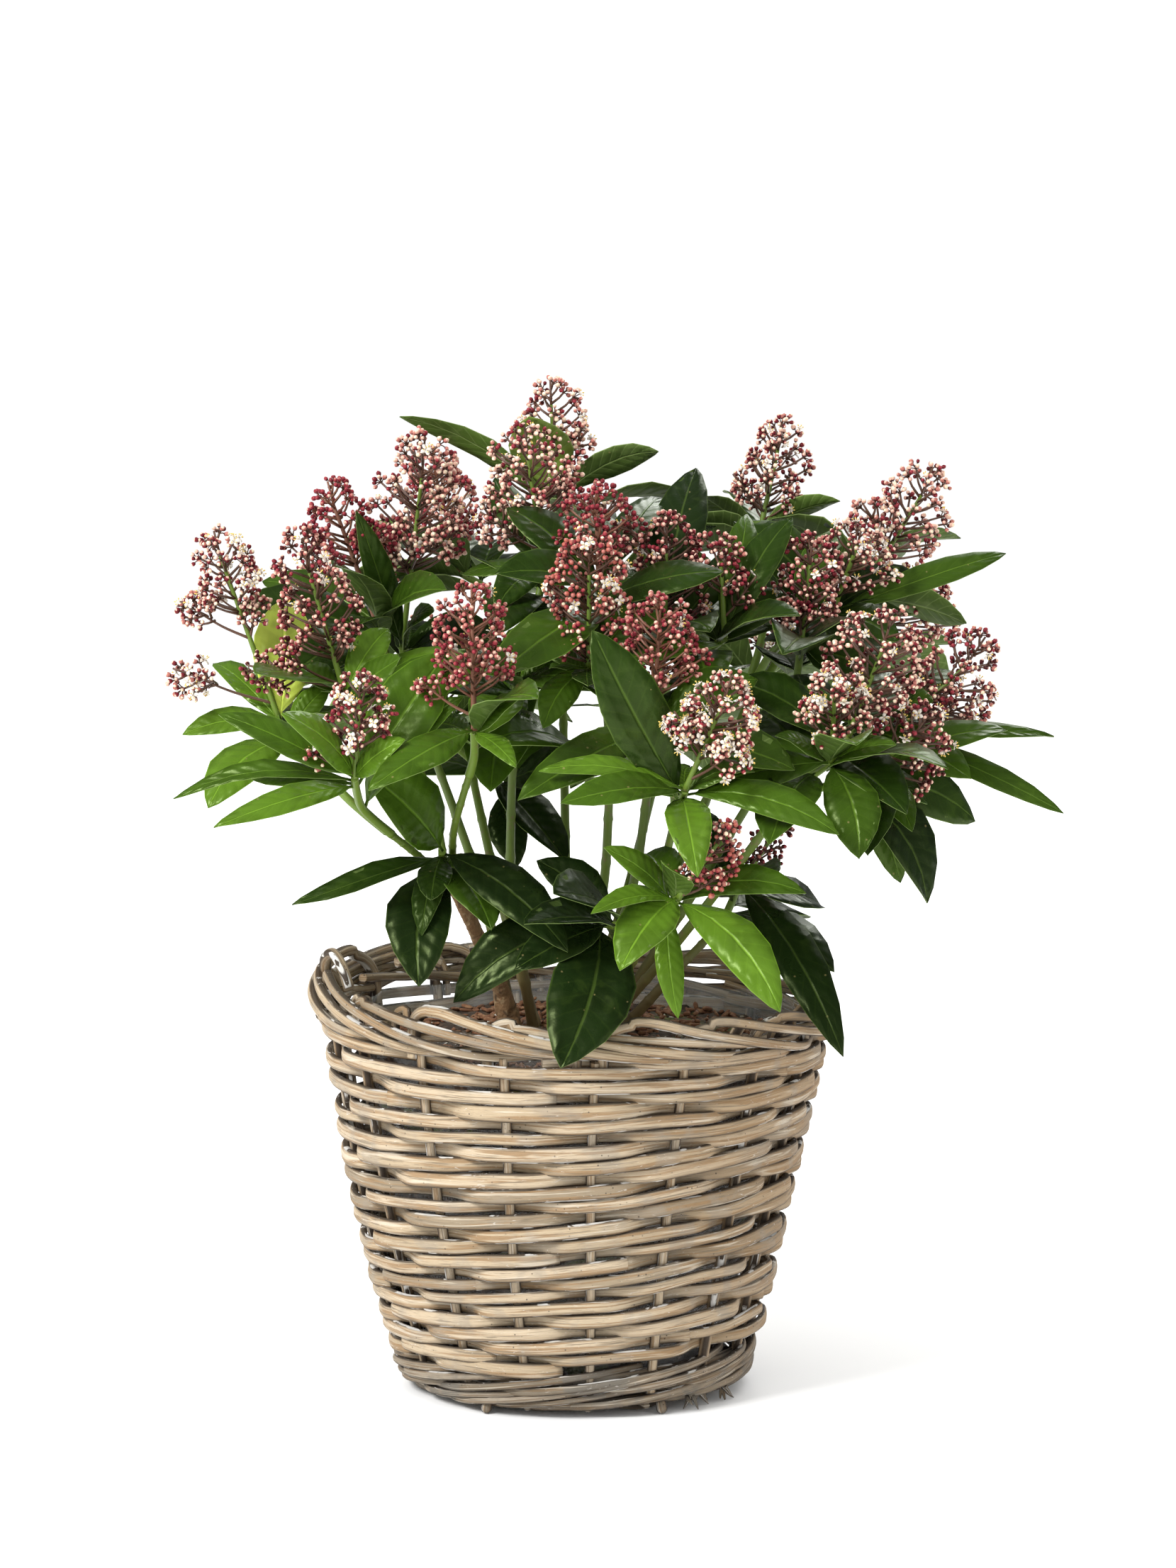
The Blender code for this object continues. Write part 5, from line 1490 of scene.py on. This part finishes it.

# The two lightest tones, olive and backlit, are painted light: the yellow-green glow of leaves with light
# shining through them.
TONES = {
    "deep": (0.008, 0.018, 0.004), "dark": (0.015, 0.034, 0.004), "green": (0.031, 0.066, 0.005),
    "fresh": (0.042, 0.090, 0.006), "bright": (0.074, 0.150, 0.010), "olive": (0.170, 0.225, 0.026),
    "backlit": (0.330, 0.400, 0.055),
}


def leaf_tones():
    """Each leaf's tone: its shoot's, now and then a step darker or lighter, or its own."""
    luck = random.Random("tones")
    order = list(TONES)
    lightest = order.index("bright")
    tones = []
    for shoot in shoots.values():
        for _, _, width, _, tone in shoot["leaves"]:
            place = order.index(tone or shoot["tone"])
            young = 1 if width < 22 and luck.random() < 0.5 else 0
            step = 0 if tone else luck.choice((-1, 0, 0, 0, 1)) + young
            tones.append(place if tone else min(max(place + step, 0), lightest))
    return tones


def leaf_skins(leaves, tones):
    """Leaves as thin closed skins. Past the stalk the half width is an ellipse's with
    pointed ends, (4 b (1 - b))^0.84 with b the share of the blade, and the blade folds
    up on its midrib, twists, bends and waves a little, each leaf by its own luck."""
    luck = np.random.default_rng(71)
    base, tip, width, lean, _ = (np.array([*row]) for row in zip(*leaves))
    width = width[:, None, None]
    chord = tip - base
    length = np.linalg.norm(chord, axis=1)[:, None, None]
    along = unit(chord)
    up = np.stack([0 * lean, -lean, 1 - 0.4 * np.abs(along[:, 2])], axis=-1)
    up = square_off(up, along)
    side = np.cross(along, up)
    s = LEAF_STATIONS[None, :, None]
    v = LEAF_COLUMNS[None, None, :]
    blade = np.clip((s - BLADE_START) / (1 - BLADE_START), 0, 1) ** 1.06
    half = LEAF_FULLNESS * width / 2 * (4 * blade * (1 - blade)) ** 0.84
    half = half + 1.0 - 0.8 * s
    own = lambda span: luck.uniform(*span, (len(leaves), 1, 1))
    fold = own(LEAF_FOLD)
    ripple = own(LEAF_RIPPLE)
    wave = ripple * np.sin(math.tau * 1.5 * s + own((0, 6)))
    twist = own(LEAF_TWIST) * (s - 0.3)
    bend = own(LEAF_BEND) * length * 4 * s * (1 - s)
    curl = own(LEAF_CURL) * length * (s ** 4 - s)
    arch = own(LEAF_BOW) * LEAF_ARCH * length * s * (1 - s) - curl
    thick = BLADE_THICK / 2 * (1.5 - 0.9 * s) * (1 - 0.55 * v ** 2)
    face = np.where(np.arange(10) < 5, 1.0, -1.0)[None, None, :]
    keel = np.where(np.abs(v) < 0.1, np.where(face > 0, 0.25, 0.8) * (1 - s), 0)
    flat = half * v * np.cos(fold) + 0 * s
    rise = half * np.abs(v) ** 1.2 * np.sin(fold) + wave * v ** 2 + face * thick - keel
    across = flat * np.cos(twist) - rise * np.sin(twist) + bend
    lift = flat * np.sin(twist) + rise * np.cos(twist) + arch
    rings = (
        base[:, None, None] + chord[:, None, None] * s[..., None]
        + side[:, None, None] * across[..., None] + up[:, None, None] * lift[..., None]
    )
    tone = np.array(tones)[:, None, None]
    finish = np.where(np.arange(10) < 4, tone, tone + len(TONES))
    crease = np.isin(np.arange(10), (4, 9))
    return skins(rings, s, v, finish=finish, crease=crease)


def leaf_paint(name, colour, pale, gloss, under=False):
    """A leaf's skin: a pale midrib and edge, faint side veins that slant to the edge,
    a soft mottle, small scars, and a waxy shine that varies."""
    paint = Paint(name, colour, gloss, Specular_IOR_Level=0.36, Specular_Tint=(0.75, 0.95, 0.40, 1))
    on_leaf = paint.uv((1, 1))
    from_rib = paint.math("ABSOLUTE", paint.part(on_leaf, "Y"))
    from_stalk = paint.math("MULTIPLY", paint.part(on_leaf, "X"), 62.0)
    slant = paint.math("SUBTRACT", from_stalk, paint.math("MULTIPLY", from_rib, 9.0))
    veins = paint.math("SINE", slant)
    paint.patch(shade_of(colour, 0.55), paint.noise(34, 4), 0.46, 0.66, 0.6)
    paint.patch(pale, paint.noise(70, 5, warp=0.8), 0.54, 0.72, 0.25)
    paint.patch(pale, veins, 0.90, 1.0, 0.35 if under else 0.10)
    paint.patch((0.24, 0.19, 0.08), paint.spots(95), 0.075, 0.05, 0.5)
    paint.patch(shade_of(pale, 1.25), from_rib, 0.060, 0.02, 0.6)
    paint.patch(shade_of(pale, 1.3), from_rib, 0.95, 0.985, 0.6)
    paint.rough(paint.noise(55, 3), gloss - 0.14, gloss + 0.18)
    relief = paint.math("ADD", paint.math("MULTIPLY", veins, -0.35), paint.noise(190, 4))
    paint.bump(paint.math("ADD", relief, paint.ramp(from_rib, 0.10, 0.0, 0, -1.5)), 0.5, 0.0006)
    return paint


def paler(colour, factor, milk):
    """A colour times a factor, with a milky colour added."""
    return tuple(factor * c + d for c, d in zip(colour, milk))


leaf_paints = []
for tone, colour in TONES.items():
    pale = paler(colour, 1.5, (0.030, 0.042, 0.006))
    leaf_paints.append(leaf_paint("leaf_" + tone, colour, pale, 0.31))
for tone, colour in TONES.items():
    dull = paler(colour, 0.5, (0.052, 0.082, 0.018))
    leaf_paints.append(leaf_paint("underside_" + tone, dull, (0.20, 0.27, 0.09), 0.6, under=True))
all_leaves = [leaf for shoot in shoots.values() for leaf in shoot["leaves"]]
add_piece("leaves", [leaf_skins(all_leaves, leaf_tones())], leaf_paints, list(SHOOTS))

# FLOWER HEADS
# Each stalk ends in a cone of small round buds on short stalks, in lobes on twigs that
# leave the stalk one above another. Some buds have opened to four cream petals.
BUD = {
    "maroon": (0.070, 0.010, 0.014), "garnet": (0.150, 0.012, 0.023), "ruby": (0.275, 0.030, 0.046),
    "dusky": (0.43, 0.155, 0.130), "blush": (0.72, 0.45, 0.35), "coral": (0.40, 0.105, 0.080),
    "cream": (0.84, 0.70, 0.50),
}
HUES = {name: place for place, name in enumerate(BUD)}

# Each look: the share of open flowers, the stalk's colour, and mixes of buds as the
# colour of their sides, that of their paler tips, partly a painted highlight, and how many
LOOKS = {
    "cream": (0.06, "bronze", (("dusky", "cream", 4), ("blush", "cream", 2), ("garnet", "blush", 4))),
    "dusky": (0.03, "bronze", (("dusky", "blush", 5), ("garnet", "ruby", 3), ("maroon", "blush", 3))),
    "dusky_open": (0.07, "bronze", (("dusky", "cream", 5), ("garnet", "ruby", 3), ("maroon", "blush", 3))),
    "ruby": (0.01, "rose", (("garnet", "ruby", 6), ("ruby", "dusky", 3), ("ruby", "blush", 1))),
    "pink": (0.03, "bronze", (("garnet", "ruby", 2), ("dusky", "blush", 4), ("blush", "cream", 4))),
    "ruby_pink": (0.04, "rose", (("ruby", "dusky", 4), ("dusky", "blush", 4), ("garnet", "ruby", 3))),
    "coral": (0.04, "bronze", (("coral", "dusky", 4), ("ruby", "coral", 3), ("dusky", "cream", 4))),
    "open": (0.16, "bronze", (("dusky", "cream", 4), ("ruby", "blush", 3), ("blush", "cream", 2))),
    "maroon": (0.0, "bronze", (("maroon", "ruby", 4), ("maroon", "dusky", 3))),
}
STALKS = ("leafy", "bronze", "rose")
LOBES_TO_AREA = 0.0135
LOBE_REACH = 4.7
BUDS_IN_LOBE = 7.5
BUD_WIDTH = 2.8
HEAD_SUNK = 0.30
SPRAY_STALK_RADII = (0.95, 0.6)
TWIG_RADII = (0.85, 0.7, 0.6)
SPRIG_RADII = (0.5, 0.42, 0.38)

# How much wider and taller a head is than the room kept for it
HEAD_WIDER = 1.24
HEAD_TALLER = 1.06

# A bud's five rings, as heights and radii in bud widths
BUD_RISE = np.array([-0.52, -0.30, 0.04, 0.33, 0.54])
BUD_REACH = np.array([0.22, 0.42, 0.52, 0.41, 0.12])

# A petal's four stations, as shares of its length and half widths, and the four corners
# of each, as places across it and heights
PETAL_STATIONS = np.array([0.08, 0.45, 0.8, 1.0])
PETAL_HALF = np.array([0.16, 0.42, 0.40, 0.12])
PETAL_COLUMNS = np.array([-1.0, 0.0, 1.0, 0.0])
PETAL_CUP = np.array([0.10, 0.0, 0.10, -0.10])

# A stamen's four points, as shares of its length and radii
STAMEN_SHARE = np.array([0.0, 0.62, 0.82, 1.0])
STAMEN_RADII = (0.16, 0.14, 0.42, 0.24)


def cross_axes(ahead):
    """Two directions square to each heading and to each other."""
    side = unit(np.cross(ahead, np.eye(3)[np.abs(ahead).argmin(axis=-1)]))
    return side, np.cross(ahead, side)


def spread_round(axis, count, low, luck, turn):
    """Headings spread evenly by the golden angle from an axis down to a cosine."""
    share = (np.arange(count) + 0.5) / count
    cosine = 1 - (1 - low) * share + luck.normal(0, 0.05, count)
    cosine = np.clip(cosine, -0.99, 0.995)
    radial = way_round(turn + GOLDEN_ANGLE * np.arange(count), *cross_axes(axis))
    return cosine[:, None] * axis + np.sqrt(1 - cosine ** 2)[:, None] * radial


def grow_bunch(foot, centre, axis, width, height, luck, sunk):
    """One bunch as a blunt cone of lobes: up its axis the golden angle turns from lobe
    to lobe, and the reach falls as (1 - t^3)^0.6 from the low end. A twig slants up
    from the stalk to each lobe, and a few buds spread round the twig's end. Returns
    the twigs, the buds' stalks, the buds and the ways they point."""
    axis, centre, foot = np.array(axis), np.array(centre), np.array(foot)
    tall = height * (1 + sunk)
    low_end = centre - axis * height * (0.5 + sunk)
    count = max(3, round(width * tall * LOBES_TO_AREA))
    t = 1 - (1 - (np.arange(count) + 0.4) / count) ** 0.84
    t = np.clip(t + luck.normal(0, 0.03, count), 0.0, 0.97)
    reach = (1 - t ** 3) ** 0.6 * np.clip(0.66 + 1.6 * t, 0, 1) * luck.uniform(0.70, 1.12, count)
    reach = reach * (width / 2 - 0.6 * LOBE_REACH)
    angle = GOLDEN_ANGLE * np.arange(count) + luck.normal(0, 0.25, count)
    radial = way_round(angle, *cross_axes(axis))
    lobes = low_end + axis * (t * (tall - 0.6 * LOBE_REACH))[:, None] + radial * reach[:, None]
    above = ((lobes - centre) @ axis - 0.5 * reach - 3)[:, None]
    stalk = centre - foot
    below = np.clip(-above / max(stalk @ axis, 1), 0, 0.94)
    joints = np.where(above > 0, centre + axis * above, centre - stalk * below)
    outward = unit(lobes - joints)
    middle = joints + (lobes - joints) * 0.5 + radial * (0.10 * reach)[:, None]
    crown = centre + axis * np.array([[0.0], [0.2], [0.42]]) * height
    twigs = np.concatenate([np.stack([joints, middle, lobes], axis=1), crown[None]])
    buds, stalks, aims = [], [], []
    for lobe, out in zip(lobes, outward):
        swell = luck.uniform(0.72, 1.15)
        number = max(3, int(BUDS_IN_LOBE * swell * swell + luck.uniform(0, 2)))
        aim = spread_round(out, number, -0.15, luck, luck.uniform(0, 6))
        place = lobe + aim * (LOBE_REACH * swell * luck.uniform(0.70, 1.15, (number, 1)))
        start = np.broadcast_to(lobe - 1.0 * out, place.shape)
        stalks.append(np.stack([start, lobe + aim * LOBE_REACH * 0.4 - out * 0.2, place], axis=1))
        buds.append(place)
        aims.append(unit(aim + 0.35 * out))
    return twigs, np.concatenate(stalks), np.concatenate(buds), np.concatenate(aims)


def bud_skins(places, aims, sizes, sides, tips):
    """Buds as little balls of five rings: a dark calyx, which is also painted shade at
    the bud's foot, the side, and a paler tip, partly the bud's own colour and partly a
    painted highlight.
    """
    side, other = cross_axes(aims)
    circle = way_round(even_turns(6), side[:, None], other[:, None])
    size = sizes[:, None, None, None]
    rings = (
        places[:, None, None] + aims[:, None, None] * BUD_RISE[:, None, None] * size * 1.08
        + circle[:, None] * BUD_REACH[:, None, None] * size
    )
    # The maroon ring is the real calyx, and also painted shade at the bud's foot.
    calyx_shade = np.full(len(places), HUES["maroon"])
    finish = np.stack([calyx_shade, sides, sides, tips], axis=-1)
    return skins(rings, finish=finish[..., None])


def petal_skins(places, aims, sizes, luck):
    """Four spreading petals on each open flower, each a thin cupped blade whose height
    over the flower is open_by s - 0.25 s^3, with s the share of its length."""
    side, other = cross_axes(aims)
    turn = luck.uniform(0, 6, (len(places), 1)) + even_turns(4)
    angle = turn + luck.normal(0, 0.12, (len(places), 4))
    out = way_round(angle, side[:, None], other[:, None])
    aim = np.broadcast_to(aims[:, None], out.shape).reshape(-1, 3)
    out = out.reshape(-1, 3)
    across = np.cross(aim, out)
    size = np.repeat(sizes, 4)[:, None, None, None]
    start = np.repeat(places, 4, axis=0)[:, None, None]
    open_by = luck.uniform(0.10, 0.55, (len(out), 1, 1, 1))
    s = PETAL_STATIONS[None, :, None, None]
    half = PETAL_HALF[None, :, None, None]
    v = PETAL_COLUMNS[None, None, :, None]
    cup = PETAL_CUP[None, None, :, None]
    rings = (
        start + out[:, None, None] * s * size * 1.2
        + aim[:, None, None] * size * (open_by * s - 0.25 * s ** 3 + cup - 0.1)
        + across[:, None, None] * half * v * size
    )
    return skins(rings)


def stamen_skins(places, aims, sizes, luck):
    """Four stamens to each open flower, cream threads with yellow ends."""
    spread = np.concatenate([spread_round(aim, 4, 0.55, luck, luck.uniform(0, 6)) for aim in aims])
    start = np.repeat(places, 4, axis=0)
    size = np.repeat(sizes, 4)[:, None]
    paths = start[:, None] + spread[:, None] * (STAMEN_SHARE[:, None] * size[:, :, None] * 1.15)
    radii = np.broadcast_to(STAMEN_RADII, paths.shape[:2])
    return tubes(paths, radii, 4, finish=np.array([0, 1, 1])[None, :, None])


def region_of(shoot):
    """Which of the three pieces a shoot's twigs, buds and flowers belong to."""
    if shoot["whorl"].y > BACK_HALF:
        return "back"
    return "left" if shoot["whorl"].x < 0 else "right"


bud_paints = []
for hue, colour in BUD.items():
    paint = Paint("bud_" + hue, colour, 0.42, Specular_IOR_Level=0.34, Specular_Tint=(1, 0.7, 0.5, 1))
    paint.patch(shade_of(colour, 0.6), paint.noise(900, 3), 0.5, 0.7, 0.5)
    paint.bump(paint.noise(1500, 2), 0.2, 0.0002)
    bud_paints.append(paint)
petal_white = Paint("petal_white", (0.88, 0.81, 0.71), 0.5)
petal_white.patch((0.83, 0.60, 0.52), petal_white.noise(300, 3), 0.56, 0.70, 0.6)
anther = Paint("anther_yellow", (0.70, 0.50, 0.12), 0.7)
anther.bump(anther.noise(1800, 2), 0.3, 0.0002)
stalk_paints = [
    stem_paint("leafy_stem", (0.115, 0.190, 0.016), (0.20, 0.27, 0.045)),
    stem_paint("stalk_bronze", (0.105, 0.048, 0.030), (0.20, 0.11, 0.06)),
    stem_paint("stalk_rose", (0.185, 0.070, 0.040), (0.30, 0.16, 0.08)),
]

for region in ("left", "right", "back"):
    luck = np.random.default_rng(sum(map(ord, region)))
    limbs, stalks, stalk_hues = [], [], []
    twigs, sprigs, bud_rows, flower_rows = [], [], [], []
    for shoot in shoots.values():
        if region_of(shoot) != region:
            continue
        stem = shoot["stem"]
        foot = stem[0] - (stem[1] - stem[0]).normalized() * 2
        limbs.append(([foot] + stem[1:], STEM_RADIUS, STEM_RADIUS * 0.85))
        if not shoot["stalk"]:
            continue
        open_share, stalk_hue, mixes = LOOKS[shoot["look"]]
        hue = STALKS.index(stalk_hue)
        stalks.append((shoot["stalk"], PEDUNCLE_RADIUS * 1.15, PEDUNCLE_RADIUS * 0.6))
        # Under a bronze head the stalk itself is still green
        stalk_hues.append(STALKS.index("leafy") if stalk_hue == "bronze" else hue)
        for centre, axis, width, height, node in shoot["bunches"]:
            if node:
                middle = node.lerp(centre, 0.5) + Vector((0, 0, -1.5))
                stalks.append(([node, middle, centre], *SPRAY_STALK_RADII))
                stalk_hues.append(hue)
            long, short, places, aims = grow_bunch(
                node or shoot["whorl"], centre, axis, HEAD_WIDER * width, HEAD_TALLER * height,
                luck, 0.0 if node else HEAD_SUNK,
            )
            twigs.append((long, hue))
            sprigs.append((short, hue))
            opened = luck.random(len(places)) < open_share
            side_hues, tip_hues, weights = zip(*mixes)
            choice = luck.choice(len(mixes), len(places), p=np.array(weights) / sum(weights))
            sides = np.array([HUES[name] for name in side_hues])[choice]
            tips = np.array([HUES[name] for name in tip_hues])[choice]
            sizes = BUD_WIDTH * luck.uniform(0.82, 1.12, len(places))
            bud_rows.append([a[~opened] for a in (places, aims, sizes, sides, tips)])
            flower_rows.append([a[opened] for a in (places, aims, sizes)])
    batches = [
        limb_skins(limbs, 40, 10)[0],
        limb_skins(stalks, 14, 7, finish=np.array(stalk_hues)[:, None, None])[0],
    ]
    for group, radii, around in ((twigs, TWIG_RADII, 4), (sprigs, SPRIG_RADII, 3)):
        paths = np.concatenate([rows for rows, _ in group])
        hues = np.concatenate([np.full(len(rows), hue) for rows, hue in group])
        radii = np.broadcast_to(radii, paths.shape[:2])
        batches.append(tubes(paths, radii, around, finish=hues[:, None, None]))
    add_piece("twigs_" + region, batches, stalk_paints)
    places, aims, sizes, sides, tips = (np.concatenate(rows) for rows in zip(*bud_rows))
    add_piece("buds_" + region, [bud_skins(places, aims, sizes, sides, tips)], bud_paints)
    places, aims, sizes = (np.concatenate(rows) for rows in zip(*flower_rows))
    flowers = [petal_skins(places, aims, sizes, luck), stamen_skins(places, aims, sizes, luck)]
    add_piece("flowers_" + region, flowers, [petal_white, anther])
